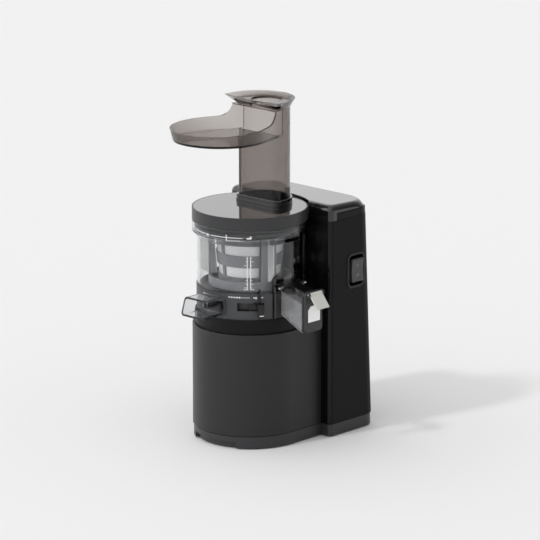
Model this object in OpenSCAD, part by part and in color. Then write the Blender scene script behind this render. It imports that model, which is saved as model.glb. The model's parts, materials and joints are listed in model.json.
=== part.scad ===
// Vertical cold press juicer: a motor drum with a rear column, a juicing bowl, a lid and a feed hopper.
// The origin is where the axis of the drum and the screw meets the surface that the juicer stands on.
// +Z is up, +Y points to the rear column, -Y to the pulp spout and the tray, +X to the juice spout.

/* [Base] */
// Radius of the motor drum
drum_r = 66.8; // [65.8:0.1:67.8]
// Height of the groove between the plinth and the drum shell
plinth_top = 16; // [14:0.5:18]
// Height of the drum shell itself
drum_h = 121; // [119:0.5:124]
// Height of the top deck above the drum shell
deck_h = 17; // [15:0.5:19]
// Wall of the drum shell and of the plinth
shell_wall = 2.6; // [2:0.1:3.2]
// Height of the rubber feet under the plinth
foot_h = 1.5; // [1:0.1:2.5]
// Radius of a rubber foot
foot_r = 8; // [6:0.5:10]
// Height of the shadow groove between plinth and shells
groove_h = 0.8; // [0.5:0.1:1.2]

/* [Column] */
// Half of the column's width
column_half_w = 80.8; // [78:0.2:84]
// Distance from the drum axis to the column's front face
column_front = 50.6; // [49:0.2:52]
// Distance from the drum axis to the column's back at the floor
column_back = 134.8; // [130:0.2:140]
// Angle by which the back leans towards the front
back_lean = 2.8; // [2:0.1:3.4]
// Depth of the seam of the column's cap under the lid's lower edge
seam_drop = 0.6; // [0.4:0.1:2.4]
// Height of the cap at its front edge
cap_h = 18.8; // [16:0.2:20]
// Angle by which the cap's top falls towards the back
cap_fall = 2.2; // [1:0.2:4]
// Radius of the column's front corners
front_corner_r = 6; // [4:0.5:10]
// Radius of the column's back corners
back_corner_r = 20; // [14:0.5:24]
// Wall of the column's shells
column_wall = 2.4; // [2:0.1:3]
// Height of the satin band in the side of the cap
band_h = 8; // [6:0.5:9]

/* [Bowl] */
// Outer radius of the clear bowl wall
bowl_r = 61; // [60.5:0.1:61.5]
// Wall of the clear bowl
bowl_wall = 2.5; // [2:0.1:3]
// Height of the dark bowl base
bowl_base_h = 30; // [29:0.5:32]
// Height of the straight clear wall
bowl_h = 57; // [54:0.5:60]
// Height of the flare between the wall and the ring
flare_h = 6.5; // [5:0.5:8]
// Height of the clear ring under the lid
ring_h = 12.5; // [11:0.5:14]

/* [Lid] */
// Outer radius of the lid and of the clear ring
lid_r = 67; // [66:0.1:68]
// Height of the lid band
lid_h = 15; // [13:0.5:17]
// Thickness of the glossy top plate
lid_plate_t = 3; // [2:0.5:4]
// Height of the collar above the lid
collar_h = 7.6; // [6:0.2:9]

/* [Hopper] */
// Half of the feed chute's width
chute_half_w = 32; // [30:0.2:33]
// Distance from the drum axis to the chute's flat front
chute_front = 11; // [10:0.2:12]
// Radius of the chute's front corners
chute_corner_r = 7; // [5:0.5:9]
// Wall of the hopper
hopper_wall = 2.4; // [2:0.1:3]
// Height of the hopper's upper rim above the lid
hopper_h = 125; // [115:0.5:135]
// Height of the funnel from its neck to its rim
funnel_h = 11; // [9:0.5:12]
// Radius of the funnel's rim
funnel_r = 43.4; // [41:0.2:45]
// Radius of the hole that takes the pusher
pusher_hole_r = 18; // [16:0.5:19]
// Half of the tray's width at the rim
tray_half_w = 54; // [50:0.5:58]
// Distance from the drum axis to the tray's far end
tray_reach = 109; // [100:1:116]
// Height of the tray's rim above the lid
tray_rim_h = 101; // [93:0.5:103]
// Height of the tray's side at its far end
tray_depth = 14.5; // [12:0.5:17]

/* [Spouts] */
// Half of the juice spout's width
juice_half_w = 14; // [12:0.5:15]
// Distance from the drum axis to the juice spout's mouth
juice_reach = 95; // [90:0.5:98]
// Wall of both spouts
spout_wall = 2.2; // [1.8:0.1:2.6]
// Height of the mouth's lowest point under the bowl base's top
juice_mouth_drop = 41; // [38:0.5:42]
// Half of the pulp spout's width
pulp_half_w = 19; // [16:0.5:20]
// Distance from the drum axis to the pulp spout's lower lip
pulp_reach = 95; // [90:0.5:100]

/* [Screw and strainer] */
// Outer radius of the strainer at its top
strainer_top_r = 42; // [41:0.1:42.5]
// Outer radius of the strainer at its foot
strainer_foot_r = 36.4; // [36.2:0.1:37]
// Wall of the strainer's frame
strainer_wall = 1.6; // [1.4:0.1:1.9]
// Gap between the screw's flights and the strainer
screw_gap = 0.9; // [0.7:0.1:1.5]
// Turn of the screw's flights from foot to top, in degrees
screw_turn = 250; // [200:10:300]
// Number of flights on the screw
flight_count = 3; // [2:1:3]

/* [Drive] */
// Distance across the flats of the hexagonal drive shaft
hex_flats = 10; // [9:0.1:10.4]
// Radius of the round drive shaft
shaft_r = 6; // [6:0.1:6.3]
// Running gap around inner shafts
run_gap = 0.25; // [0.2:0.05:0.3]
// Tooth module of the planetary gearbox
box_module = 1; // [0.95:0.01:1.05]
// Tooth module of the brush drive in the bowl
brush_module = 1.25; // [1.24:0.002:1.26]
// Radius of the motor's can
motor_r = 38; // [36:0.5:40]

/* [Hidden] */
$fn = 64;

// One overrun for every cut, and small common sizes
over = 1;
seat_gap = 0.3;
edge_r = 1.5;

// Heights of the main seams, from the floor up
drum_top = plinth_top + drum_h;
deck_top = drum_top + deck_h;
base_top = deck_top + bowl_base_h;
flare_z = base_top + bowl_h;
ring_z = flare_z + flare_h;
lid_z = ring_z + ring_h;
cap_seam = lid_z - seam_drop;
lid_top_z = lid_z + lid_h;
collar_top = lid_top_z + collar_h;
hopper_top = lid_top_z + hopper_h;

// Flat shapes

// A U-shaped plan: half a round in front, straight sides that run back to the column's face
module u_plan(r) {
    intersection() {
        union() {
            circle(r = r);
            translate([-r, 0]) square([2 * r, column_front]);
        }
        translate([-r - over, -r - over]) square([2 * r + 2 * over, r + over + column_front]);
    }
}

// A rectangle with round corners, centred on the origin
module round_rect(w, h, r) {
    union() {
        square([w - 2 * r, h], center = true);
        square([w, h - 2 * r], center = true);
        for (x = [-1, 1], y = [-1, 1])
            translate([x * (w / 2 - r), y * (h / 2 - r)]) circle(r = r);
    }
}

// The chute's plan, drawn in by an inset: a flat front with round corners and a half-round back
module d_plan(inset, half_w = chute_half_w, front = chute_front) {
    w = half_w - inset;
    y0 = front + inset;
    r = chute_corner_r - inset / 2;
    union() {
        intersection() {
            translate([0, chute_mid]) circle(r = w);
            translate([-2 * w, chute_mid - over]) square([4 * w, 2 * w]);
        }
        translate([-w, y0 + r]) square([2 * w, chute_mid - y0 - r]);
        translate([-w + r, y0]) square([2 * (w - r), 2 * r]);
        for (x = [-1, 1]) translate([x * (w - r), y0 + r]) circle(r = r);
    }
}
chute_mid_share = 0.328;
chute_mid = chute_front + chute_mid_share * chute_half_w;

// A gear's outline by the involute of its base circle, with its first tooth on +X
pressure_angle = 25;
addendum_share = 0.85;
dedendum_share = 1.1;
slack_share = 0.06;
flank_steps = 3;
function inv_angle(r, base_r) =
    let (a = acos(min(1, base_r / r))) tan(a) * 180 / PI - a;
function half_tooth(r, teeth, module_size, slack) =
    let (pitch_r = teeth * module_size / 2, base_r = pitch_r * cos(pressure_angle))
    90 / teeth - slack / pitch_r * 180 / PI
        + inv_angle(pitch_r, base_r) - inv_angle(max(r, base_r), base_r);
function flank_radii(teeth, module_size, inner, outer) =
    let (pitch_r = teeth * module_size / 2, base_r = pitch_r * cos(pressure_angle),
         r0 = max(base_r, pitch_r - inner), r1 = pitch_r + outer)
    concat(base_r > pitch_r - inner ? [pitch_r - inner] : [],
           [for (k = [0:flank_steps]) r0 + (r1 - r0) * k / flank_steps]);
function gear_points(teeth, module_size, inner, outer, slack, turn) =
    let (radii = flank_radii(teeth, module_size, inner, outer), last = len(radii) - 1)
    [for (i = [0:teeth - 1], side = [-1, 1], k = [0:last])
        let (r = side < 0 ? radii[k] : radii[last - k],
             a = turn + i * 360 / teeth + side * half_tooth(r, teeth, module_size, slack))
        [r * cos(a), r * sin(a)]];
module gear_2d(teeth, module_size, turn = 0) {
    polygon(gear_points(teeth, module_size, dedendum_share * module_size,
        addendum_share * module_size, slack_share * module_size, turn));
}
// The hollow of an internal gear: its gaps are teeth that are a little too large
module ring_gear_hollow_2d(teeth, module_size) {
    polygon(gear_points(teeth, module_size, addendum_share * module_size,
        dedendum_share * module_size, -slack_share * module_size, 180 / teeth));
}
module hexagon(flats) {
    circle(r = flats / 2 / cos(30), $fn = 6);
}

// Straight tube and plain revolved ring
module tube(r_out, r_in, z0, z1) {
    translate([0, 0, z0]) difference() {
        cylinder(r = r_out, h = z1 - z0);
        translate([0, 0, -over]) cylinder(r = r_in, h = z1 - z0 + 2 * over);
    }
}
module disc(r, z0, z1) {
    translate([0, 0, z0]) cylinder(r = r, h = z1 - z0);
}
module box_between(low, high) {
    translate(low) cube([high[0] - low[0], high[1] - low[1], high[2] - low[2]]);
}

// A closed loft through rings of equal point counts, with flat ends
function loft_faces(count, rings) =
    concat([[for (i = [count - 1:-1:0]) i]],
        [for (j = [0:rings - 2], i = [0:count - 1])
            [j * count + i, j * count + (i + 1) % count,
             (j + 1) * count + (i + 1) % count, (j + 1) * count + i]],
        [[for (i = [0:count - 1]) (rings - 1) * count + i]]);
module loft(rings) {
    polyhedron(points = [for (ring = rings, p = ring) p],
        faces = [for (f = loft_faces(len(rings[0]), len(rings))) [for (k = [len(f) - 1:-1:0]) f[k]]]);
}

// Column

lean_run = tan(back_lean);
// The leaning rear half is narrower by a step too small to see
rear_step = 0.05;
column_split = column_front + (column_back - column_front) / 2;
// The column's solid between two heights, drawn in by an inset
module column_solid(inset, z0, z1) {
    half_w = column_half_w - inset;
    front = column_front + inset;
    front_r = max(edge_r, front_corner_r - inset);
    back_r = back_corner_r - inset;
    reach = 2 * column_back;
    rear_run = column_back - column_split + front_corner_r;
    rear_w = half_w - rear_step;
    intersection() {
        translate([-reach, -reach, z0]) cube([2 * reach, 2 * reach, z1 - z0]);
        union() {
            linear_extrude(height = cap_seam + 2 * cap_h) {
                translate([-half_w, front + front_r])
                    square([2 * half_w, column_split - front - front_r]);
                translate([-half_w + front_r, front])
                    square([2 * (half_w - front_r), column_split - front]);
                for (x = [-1, 1]) translate([x * (half_w - front_r), front + front_r])
                    circle(r = front_r);
            }
            translate([0, column_back - inset, 0]) rotate([back_lean, 0, 0])
                translate([0, 0, -cap_h])
                linear_extrude(height = cap_seam + 4 * cap_h) {
                    translate([-rear_w, -rear_run]) square([2 * rear_w, rear_run - back_r]);
                    translate([-rear_w + back_r, -rear_run])
                        square([2 * (rear_w - back_r), rear_run]);
                    for (x = [-1, 1]) translate([x * (rear_w - back_r), -back_r])
                        circle(r = back_r);
                }
        }
    }
}

// The hollows in the column's front that let the bowl and the lid in
recess_gap = 2;
bowl_base_step = 1;
bowl_base_r = bowl_r + bowl_base_step;
bowl_recess_r = bowl_base_r + recess_gap;
lid_recess_r = lid_r + recess_gap;
lid_recess_z = flare_z + recess_gap;
module bowl_recess(extra) {
    disc(bowl_recess_r + extra, deck_top - seat_gap - extra, lid_recess_z + over);
    disc(lid_recess_r + extra, lid_recess_z - extra, cap_seam + 2 * cap_h);
}
// The glossy face is a step thicker than the shell's wall, so that no thin skin is left of it
face_step = 0.2;
face_t = column_wall + face_step;
window_w = 30;
window_h = 24;
window_z = 62;

module column_front() {
    color([0.05, 0.05, 0.055]) difference() {
        intersection() {
            column_solid(0, plinth_top, cap_seam);
            union() {
                box_between([-column_half_w, column_front - over, 0],
                    [column_half_w, column_front + face_t, cap_seam + over]);
                bowl_recess(face_t);
            }
        }
        bowl_recess(0);
        translate([-window_w / 2, column_front - over, window_z])
            cube([window_w, face_t + 2 * over, window_h]);
    }
}

module column_shell() {
    color([0.16, 0.16, 0.165]) difference() {
        column_solid(0, plinth_top, cap_seam);
        column_solid(column_wall, plinth_top - over, cap_seam + over);
        box_between([-column_half_w - over, 0, 0],
            [column_half_w + over, column_front + face_t, cap_seam + over]);
        switch_slab(bezel_w + 2 * run_gap, bezel_hh + 2 * run_gap, bezel_r + run_gap,
            column_half_w - bezel_depth, column_half_w + over);
        at_gland() translate([0, 0, -gland_r]) cylinder(r = gland_r + run_gap, h = 3 * gland_r);
    }
}

// The cap rounds over its upper edge in five steps
cap_round_share = [[0, 0.5], [0.05, 0.3], [0.15, 0.14], [0.3, 0.04], [0.48, 0]];
cap_back_share = 1.4;
cap_round = 13;
slice_t = 0.1;
module cap_solid() {
    intersection() {
        hull() {
            column_solid(0, cap_seam, cap_seam + cap_h / 3);
            for (s = cap_round_share) translate([0, column_front, cap_seam + cap_h])
                rotate([-cap_fall, 0, 0])
                translate([0, -column_front, -s[1] * cap_round - slice_t])
                linear_extrude(height = slice_t) cap_outline(s[0] * cap_round);
        }
        translate([-2 * column_half_w, 0, cap_seam])
            cube([4 * column_half_w, 2 * column_back, 2 * cap_h]);
    }
}
cap_back = column_back - lean_run * (cap_seam + cap_h / 2);
module cap_outline(inset) {
    back_r = cap_back_share * back_corner_r;
    hull() for (x = [-1, 1]) {
        translate([x * (column_half_w - inset - front_corner_r), column_front + inset + front_corner_r])
            circle(r = front_corner_r);
        translate([x * (column_half_w - inset - back_r), cap_back - inset - back_r])
            circle(r = back_r);
    }
}
band_setback = 10.3;
band_front = column_front + band_setback;
band_t = 2.2;
module column_cap() {
    color([0.04, 0.04, 0.045]) difference() {
        cap_solid();
        bowl_recess(0);
        difference() {
            box_between([-2 * column_half_w, band_front, cap_seam - over],
                [2 * column_half_w, 2 * column_back, cap_seam + band_h + groove_h]);
            column_solid(band_t + seat_gap, 0, cap_seam + 2 * cap_h);
        }
        translate([0, 0, -over]) cap_hollow();
    }
}
cap_top_t = 5;
module cap_hollow() {
    intersection() {
        column_solid(2 * column_wall, 0, cap_seam + cap_h / 2);
        box_between([-column_half_w, lid_recess_r + 2 * column_wall, 0],
            [column_half_w, column_back, cap_seam + cap_h / 2]);
    }
}
module cap_band() {
    color([0.15, 0.15, 0.155]) intersection() {
        difference() {
            column_solid(seat_gap, cap_seam, cap_seam + band_h);
            column_solid(band_t, cap_seam - over, cap_seam + band_h + over);
        }
        box_between([-2 * column_half_w, band_front + seat_gap, 0],
            [2 * column_half_w, 2 * column_back, cap_seam + cap_h]);
    }
}

// Switch on the column's right side
switch_back = 43.2;
switch_rise = 10.8;
switch_y = column_front + switch_back;
switch_z = base_top + switch_rise;
bezel_w = 28;
bezel_hh = 40;
bezel_depth = 12;
bezel_wall = 2;
bezel_r = 7;
bezel_lip = 0.7;
rocker_w = 19;
rocker_hh = 28;
rocker_pin_r = 1.5;
rocker_depth = 3.5;
rocker_x = column_half_w - rocker_depth;
module switch_slab(w, h, r, x0, x1) {
    translate([x0, switch_y, switch_z]) rotate([90, 0, 90])
        linear_extrude(height = x1 - x0) round_rect(w, h, r);
}
module switch_bezel() {
    color([0.08, 0.08, 0.085]) difference() {
        union() {
            switch_slab(bezel_w, bezel_hh, bezel_r, column_half_w - bezel_depth, column_half_w);
            switch_slab(bezel_w + bezel_wall, bezel_hh + bezel_wall, bezel_r + bezel_wall / 2,
                column_half_w, column_half_w + bezel_lip);
        }
        switch_slab(bezel_w - 2 * bezel_wall, bezel_hh - 2 * bezel_wall, bezel_r - bezel_wall,
            column_half_w - bezel_depth + bezel_wall, column_half_w + over);
        translate([rocker_x, switch_y - bezel_w, switch_z]) rotate([-90, 0, 0])
            cylinder(r = rocker_pin_r + run_gap, h = 2 * bezel_w);
    }
}
rocker_proud = 3.4;
rocker_dip = 1.2;
module switch_rocker() {
    face_x = column_half_w + rocker_proud;
    color([0.2, 0.2, 0.21]) union() {
        translate([0, switch_y + rocker_w / 2, 0]) rotate([90, 0, 0])
            linear_extrude(height = rocker_w) polygon([
                [face_x - rocker_dip, switch_z],
                [face_x, switch_z + rocker_hh / 2 - edge_r],
                [face_x - edge_r, switch_z + rocker_hh / 2],
                [rocker_x - edge_r, switch_z + rocker_hh / 4],
                [rocker_x - edge_r, switch_z - rocker_hh / 4],
                [face_x - edge_r, switch_z - rocker_hh / 2],
                [face_x, switch_z - rocker_hh / 2 + edge_r]
            ]);
        translate([rocker_x, switch_y - bezel_w / 2 + bezel_wall / 4, switch_z]) rotate([-90, 0, 0])
            cylinder(r = rocker_pin_r, h = bezel_w - bezel_wall / 2);
    }
}

// Base

plinth_inset = 1.2;
plinth_floor = 3;
seat_h = 4;
lip_cut_h = 7;
lip_cut_depth = 4;
lip_cut_from = -121;
lip_cut_to = -61;
post_r = 5;
screw_r = 1.5;
screw_head_r = 3;
screw_head_h = 2;
vent_w = 3;
vent_count = 7;
drum_foot_share = [0.62, -0.5];
column_foot_share = 0.75;
drum_screw_share = [0.78, 0.18];
column_screw_share = 0.35;
foot_spots = [[0, 0], for (x = [-1, 1]) each [
    [x * drum_foot_share[0] * drum_r, drum_foot_share[1] * drum_r],
    [x * column_foot_share * column_half_w, column_back - 2 * back_corner_r]
]];
screw_spots = [for (x = [-1, 1]) each [
    [x * drum_screw_share[0] * drum_r, drum_screw_share[1] * drum_r],
    [x * column_screw_share * column_half_w, column_back - back_corner_r]
]];
module plinth_solid(inset, z0, z1) {
    translate([0, 0, z0]) linear_extrude(height = z1 - z0) union() {
        u_plan(drum_r - inset);
        translate([-drum_r + inset, 0]) square([2 * (drum_r - inset), column_front + inset + over]);
    }
    column_solid(inset, z0, z1);
}
// A sector of a ring, from one angle to another
module ring_sector(r_in, r_out, z0, z1, from, to) {
    translate([0, 0, z0]) rotate([0, 0, from]) rotate_extrude(angle = to - from)
        translate([r_in, 0]) square([r_out - r_in, z1 - z0]);
}
module plinth() {
    floor_z = foot_h + plinth_floor;
    rim_z = plinth_top - groove_h;
    lip_r = drum_r - plinth_inset;
    color([0.23, 0.235, 0.24]) difference() {
        union() {
            difference() {
                plinth_solid(plinth_inset, foot_h, rim_z);
                plinth_solid(plinth_inset + 2 * shell_wall, floor_z, rim_z + over);
            }
            difference() {
                plinth_solid(shell_wall + seat_gap, foot_h, plinth_top + seat_h);
                plinth_solid(2 * shell_wall + seat_gap, foot_h - over, plinth_top + seat_h + over);
                box_between([-drum_r, column_front - 3 * shell_wall, rim_z],
                    [drum_r, column_front + 4 * shell_wall, plinth_top + seat_h + over]);
            }
            for (a = [45:90:315]) rotate([0, 0, a])
                translate([mount_ring_r, 0, foot_h]) cylinder(r = post_r, h = mount_z - foot_h);
            for (p = screw_spots) translate([p[0], p[1], foot_h])
                cylinder(r = post_r, h = rim_z - foot_h);
        }
        for (p = foot_spots) translate([p[0], p[1], 0])
            cylinder(r = foot_r + run_gap, h = 2 * foot_h);
        ring_sector(lip_r - lip_cut_depth, lip_r + over, 0, foot_h + lip_cut_h,
            lip_cut_from, lip_cut_to);
        difference() {
            for (i = [0:vent_count - 1])
                translate([-vent_w / 2 + (i - (vent_count - 1) / 2) * 2 * vent_w, -fan_r / 2, 0])
                    cube([vent_w, fan_r, floor_z + over]);
            box_between([-5 * vent_w, -foot_r - vent_w / 2, -over],
                [5 * vent_w, foot_r + vent_w / 2, floor_z + 2 * over]);
        }
        for (p = screw_spots) translate([p[0], p[1], 0]) {
            cylinder(r = screw_head_r + run_gap, h = foot_h + screw_head_h + run_gap);
            cylinder(r = screw_r + run_gap, h = plinth_top);
        }
    }
}
module feet() {
    color([0.1, 0.1, 0.1]) for (p = foot_spots) translate([p[0], p[1], 0])
        cylinder(r = foot_r, h = 2 * foot_h);
}
module base_screws() {
    color([0.6, 0.6, 0.62]) for (p = screw_spots) translate([p[0], p[1], foot_h]) union() {
        cylinder(r = screw_head_r, h = screw_head_h);
        cylinder(r = screw_r, h = plinth_top - groove_h - foot_h);
    }
}
module hollow_u_plan(r) {
    union() {
        u_plan(r);
        translate([-r, 0]) square([2 * r, column_front + over]);
    }
}
module drum_shell() {
    color([0.16, 0.16, 0.165]) difference() {
        translate([0, 0, plinth_top]) linear_extrude(height = drum_h) u_plan(drum_r);
        translate([0, 0, plinth_top - over]) linear_extrude(height = drum_h + 2 * over)
            hollow_u_plan(drum_r - shell_wall);
    }
}

// Deck

deck_inset = 2.8;
deck_plate_t = 5;
hub_r = 14;
hub_h = 7;
seal_r = 11;
seal_h = 5;
module top_deck() {
    color([0.13, 0.13, 0.135]) difference() {
        union() {
            difference() {
                translate([0, 0, drum_top]) linear_extrude(height = deck_h)
                    u_plan(drum_r - deck_inset);
                translate([0, 0, drum_top - over]) linear_extrude(height = deck_h - deck_plate_t + over)
                    hollow_u_plan(drum_r - deck_inset - shell_wall);
            }
            difference() {
                translate([0, 0, drum_top - seat_h]) linear_extrude(height = seat_h + over)
                    u_plan(drum_r - shell_wall - seat_gap);
                translate([0, 0, drum_top - seat_h - over]) linear_extrude(height = seat_h + 3 * over)
                    hollow_u_plan(drum_r - 2 * shell_wall - seat_gap);
            }
            disc(hub_r, deck_top - deck_plate_t, deck_top + hub_h);
            tube(box_flange_r, box_r + 3 * seat_gap, box_top, deck_top - deck_plate_t + over);
        }
        disc(shaft_r + 2 * run_gap, drum_top, deck_top + hub_h + over);
        disc(seal_r, deck_top + hub_h - seal_h, deck_top + hub_h + over);
    }
}
module shaft_seal() {
    color([0.12, 0.12, 0.12]) tube(seal_r - run_gap / 5, shaft_r + run_gap,
        deck_top + hub_h - seal_h, deck_top + hub_h);
}

// Motor

fan_r = 30;
fan_hub_r = 7;
fan_h = 10;
mount_z = 20;
mount_h = 4;
mount_ring_r = 45;
motor_z = mount_z + mount_h;
motor_h = 66;
motor_top = motor_z + motor_h;
can_wall = 1.6;
flange_t = 3;
core_rise = 16;
core_z0 = motor_z + core_rise;
core_h = 34;
core_z1 = core_z0 + core_h;
coil_h = 8;
bore_r = 22.3;
rotor_shaft_r = 3.5;
bearing_r = 8;
bearing_h = 5;
fit_gap = run_gap / 5;
module motor_mounts() {
    color([0.1, 0.1, 0.1]) for (a = [45:90:315]) rotate([0, 0, a])
        translate([mount_ring_r, 0, mount_z]) cylinder(r = post_r, h = mount_h);
}
module motor_can() {
    color([0.55, 0.56, 0.58]) difference() {
        union() {
            disc(motor_r, motor_z, motor_top);
            disc(mount_ring_r + post_r, motor_z, motor_z + flange_t);
        }
        disc(motor_r - can_wall, motor_z + bearing_h + flange_t, motor_top - bearing_h - flange_t);
        disc(bearing_r, motor_z + flange_t, motor_top - flange_t);
        disc(rotor_shaft_r + 2 * run_gap, motor_z - over, motor_top + over);
    }
}
module stator_core() {
    color([0.42, 0.43, 0.45]) difference() {
        disc(motor_r - can_wall - run_gap, core_z0, core_z1);
        disc(bore_r, core_z0 - over, core_z1 + over);
        for (a = [0:30:330]) rotate([0, 0, a])
            box_between([bore_r - over, -edge_r, core_z0 - over],
                [motor_r - 5 * can_wall, edge_r, core_z1 + over]);
    }
}
module field_coils() {
    color([0.72, 0.4, 0.2]) for (z = [core_z0 - coil_h, core_z1])
        tube(motor_r - 2 * can_wall, bore_r + 2 * can_wall, z, z + coil_h);
}
module motor_bearings() {
    color([0.7, 0.7, 0.72]) for (z = [motor_z + flange_t, motor_top - flange_t - bearing_h])
        tube(bearing_r - fit_gap, rotor_shaft_r + fit_gap, z, z + bearing_h);
}
rotor_z0 = foot_h + plinth_floor + 2 * over;
gear_z0 = motor_top + flange_t + over;
gear_h = 12;
module rotor() {
    color([0.5, 0.51, 0.53]) union() {
        disc(rotor_shaft_r, rotor_z0, gear_z0 + gear_h);
        disc(bore_r - 2 * run_gap, core_z0, core_z1);
    }
}
module cooling_fan() {
    color([0.15, 0.15, 0.16]) difference() {
        union() {
            disc(fan_hub_r, rotor_z0 + over, rotor_z0 + over + fan_h);
            disc(fan_r, rotor_z0 + over, rotor_z0 + over + edge_r);
            for (a = [0:40:320]) rotate([0, 0, a])
                box_between([fan_hub_r - over, -edge_r / 2, rotor_z0 + 2 * over],
                    [fan_r - over, edge_r / 2, rotor_z0 + fan_h]);
        }
        disc(rotor_shaft_r + fit_gap, 0, motor_z);
    }
}

// Planetary gearbox

sun_teeth = 12;
planet_teeth = 18;
ring_teeth = sun_teeth + 2 * planet_teeth;
planet_orbit = (sun_teeth + planet_teeth) * box_module / 2;
box_wall = 5;
box_r = ring_teeth * box_module / 2 + box_wall;
box_flange_w = 12;
box_flange_r = box_r + box_flange_w;
carrier_t = 5;
carrier_r = planet_orbit + carrier_t;
pin_r = 2.5;
carrier_z = gear_z0 + gear_h + over;
box_lid_z = carrier_z + carrier_t + over;
box_lid_t = 8;
box_top = box_lid_z + box_lid_t;
output_bearing_r = 11;
module sun_gear() {
    color([0.62, 0.6, 0.5]) translate([0, 0, gear_z0]) linear_extrude(height = gear_h) difference() {
        gear_2d(sun_teeth, box_module);
        circle(r = rotor_shaft_r + fit_gap);
    }
}
module planet_gear(index) {
    color([0.85, 0.84, 0.78]) rotate([0, 0, 120 * (index - 1)])
        translate([planet_orbit, 0, gear_z0]) linear_extrude(height = gear_h) difference() {
            gear_2d(planet_teeth, box_module, 180 / planet_teeth);
            circle(r = pin_r + run_gap);
        }
}
module gearbox_housing() {
    color([0.3, 0.31, 0.33]) difference() {
        union() {
            disc(box_r, motor_top, box_top);
            disc(box_flange_r, box_top - flange_t, box_top);
        }
        disc(rotor_shaft_r + 4 * run_gap, motor_top - over, box_lid_z);
        translate([0, 0, motor_top + flange_t])
            linear_extrude(height = box_lid_z - motor_top - flange_t)
            ring_gear_hollow_2d(ring_teeth, box_module);
        disc(output_bearing_r, box_lid_z - over, box_top + over);
    }
}
module output_bearing() {
    color([0.7, 0.7, 0.72]) tube(output_bearing_r - fit_gap, shaft_r + fit_gap, box_lid_z, box_top);
}
floor_rise = 24;
floor_t = 3.5;
floor_top = deck_top + floor_rise;
hex_z = floor_top - floor_t - over;
hex_h = 48;
hex_top = hex_z + hex_h;
module output_shaft() {
    color([0.66, 0.67, 0.69]) union() {
        disc(carrier_r, carrier_z, carrier_z + carrier_t);
        for (a = [0:120:240]) rotate([0, 0, a]) translate([planet_orbit, 0, gear_z0])
            cylinder(r = pin_r, h = carrier_z - gear_z0 + carrier_t / 2);
        disc(shaft_r, carrier_z, hex_z);
        translate([0, 0, hex_z]) linear_extrude(height = hex_h) hexagon(hex_flats);
    }
}

// Electrics in the column

board_w = 90;
board_hh = 110;
board_z = 40;
board_back = 22;
board_y = column_front + board_back;
board_t = 1.6;
lead_r = 2.5;
module power_board() {
    color([0.1, 0.35, 0.2]) union() {
        box_between([-board_w / 2, board_y, board_z],
            [board_w / 2, board_y + board_t, board_z + board_hh]);
        box_between([-board_w / 4, board_y, board_z + board_hh / 2],
            [-board_w / 8, board_y + board_w / 6, board_z + board_hh / 2 + board_w / 4]);
        translate([board_w / 4, board_y, board_z + board_hh * 2 / 3]) rotate([-90, 0, 0])
            cylinder(r = board_w / 10, h = board_w / 4);
        for (x = [-1, 1]) box_between([x * board_w / 3 - board_t, column_front + face_t, board_z],
            [x * board_w / 3 + board_t, board_y + board_t, board_z + 4 * board_t]);
    }
}
module motor_lead() {
    color([0.7, 0.1, 0.1]) translate([0, board_y, window_z + window_h / 2]) rotate([90, 0, 0])
        cylinder(r = lead_r, h = board_y - motor_r - seat_gap);
}
gland_z = 34;
gland_r = 6;
gland_flange_r = 9;
module at_gland() {
    translate([0, column_back - lean_run * gland_z, gland_z])
        rotate([90 + back_lean, 0, 0]) children();
}
module cable_gland() {
    color([0.08, 0.08, 0.08]) at_gland() difference() {
        union() {
            translate([0, 0, -flange_t]) cylinder(r = gland_flange_r, h = flange_t);
            cylinder(r = gland_r, h = 3 * flange_t);
        }
        translate([0, 0, -2 * flange_t]) cylinder(r = gland_r / 2, h = 8 * flange_t);
    }
}

// Bowl base, with the gear train that turns the brush

base_wall = 3.5;
floor_hole_r = shaft_r + 2 * run_gap;
step_h = 1.2;
track_z = floor_top + step_h;
teeth_h = 7;
teeth_z0 = track_z + seat_gap;
teeth_z1 = teeth_z0 + teeth_h;
auger_teeth = 24;
idler_teeth = 12;
brush_teeth = auger_teeth + 2 * idler_teeth;
idler_orbit = (auger_teeth + idler_teeth) * brush_module / 2;
idler_angle = 90;
auger_tip_r = (auger_teeth / 2 + addendum_share) * brush_module;
brush_tip_r = (brush_teeth / 2 - addendum_share) * brush_module;
brush_root_r = (brush_teeth / 2 + dedendum_share) * brush_module;
brush_rim = 3;
plate_t = 2;
strainer_z = teeth_z1 + plate_t;
pedestal_in = auger_tip_r + step_h;
pedestal_out = brush_tip_r - floor_t / 4;
pedestal_gap_half = 32;
pulp_slot_half = 26;
pulp_angle = -90;
bowl_seal_r = 10;
slot_rise = 10.5;
slot_z0 = deck_top + slot_rise;
slot_z1 = floor_top - floor_t - seat_gap;
slot_from = -60;
slot_to = -31;
lever_angle = -36;
lever_half = 2.8;
lever_swing = 20;
lever_t = 3.2;
guide_t = 1.6;
pulp_rise = 4.5;
pulp_drop = 4;
pulp_z0 = deck_top + pulp_rise;
pulp_z1 = base_top - pulp_drop;
pulp_lean = 7;
pulp_corner_r = 4;
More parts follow.
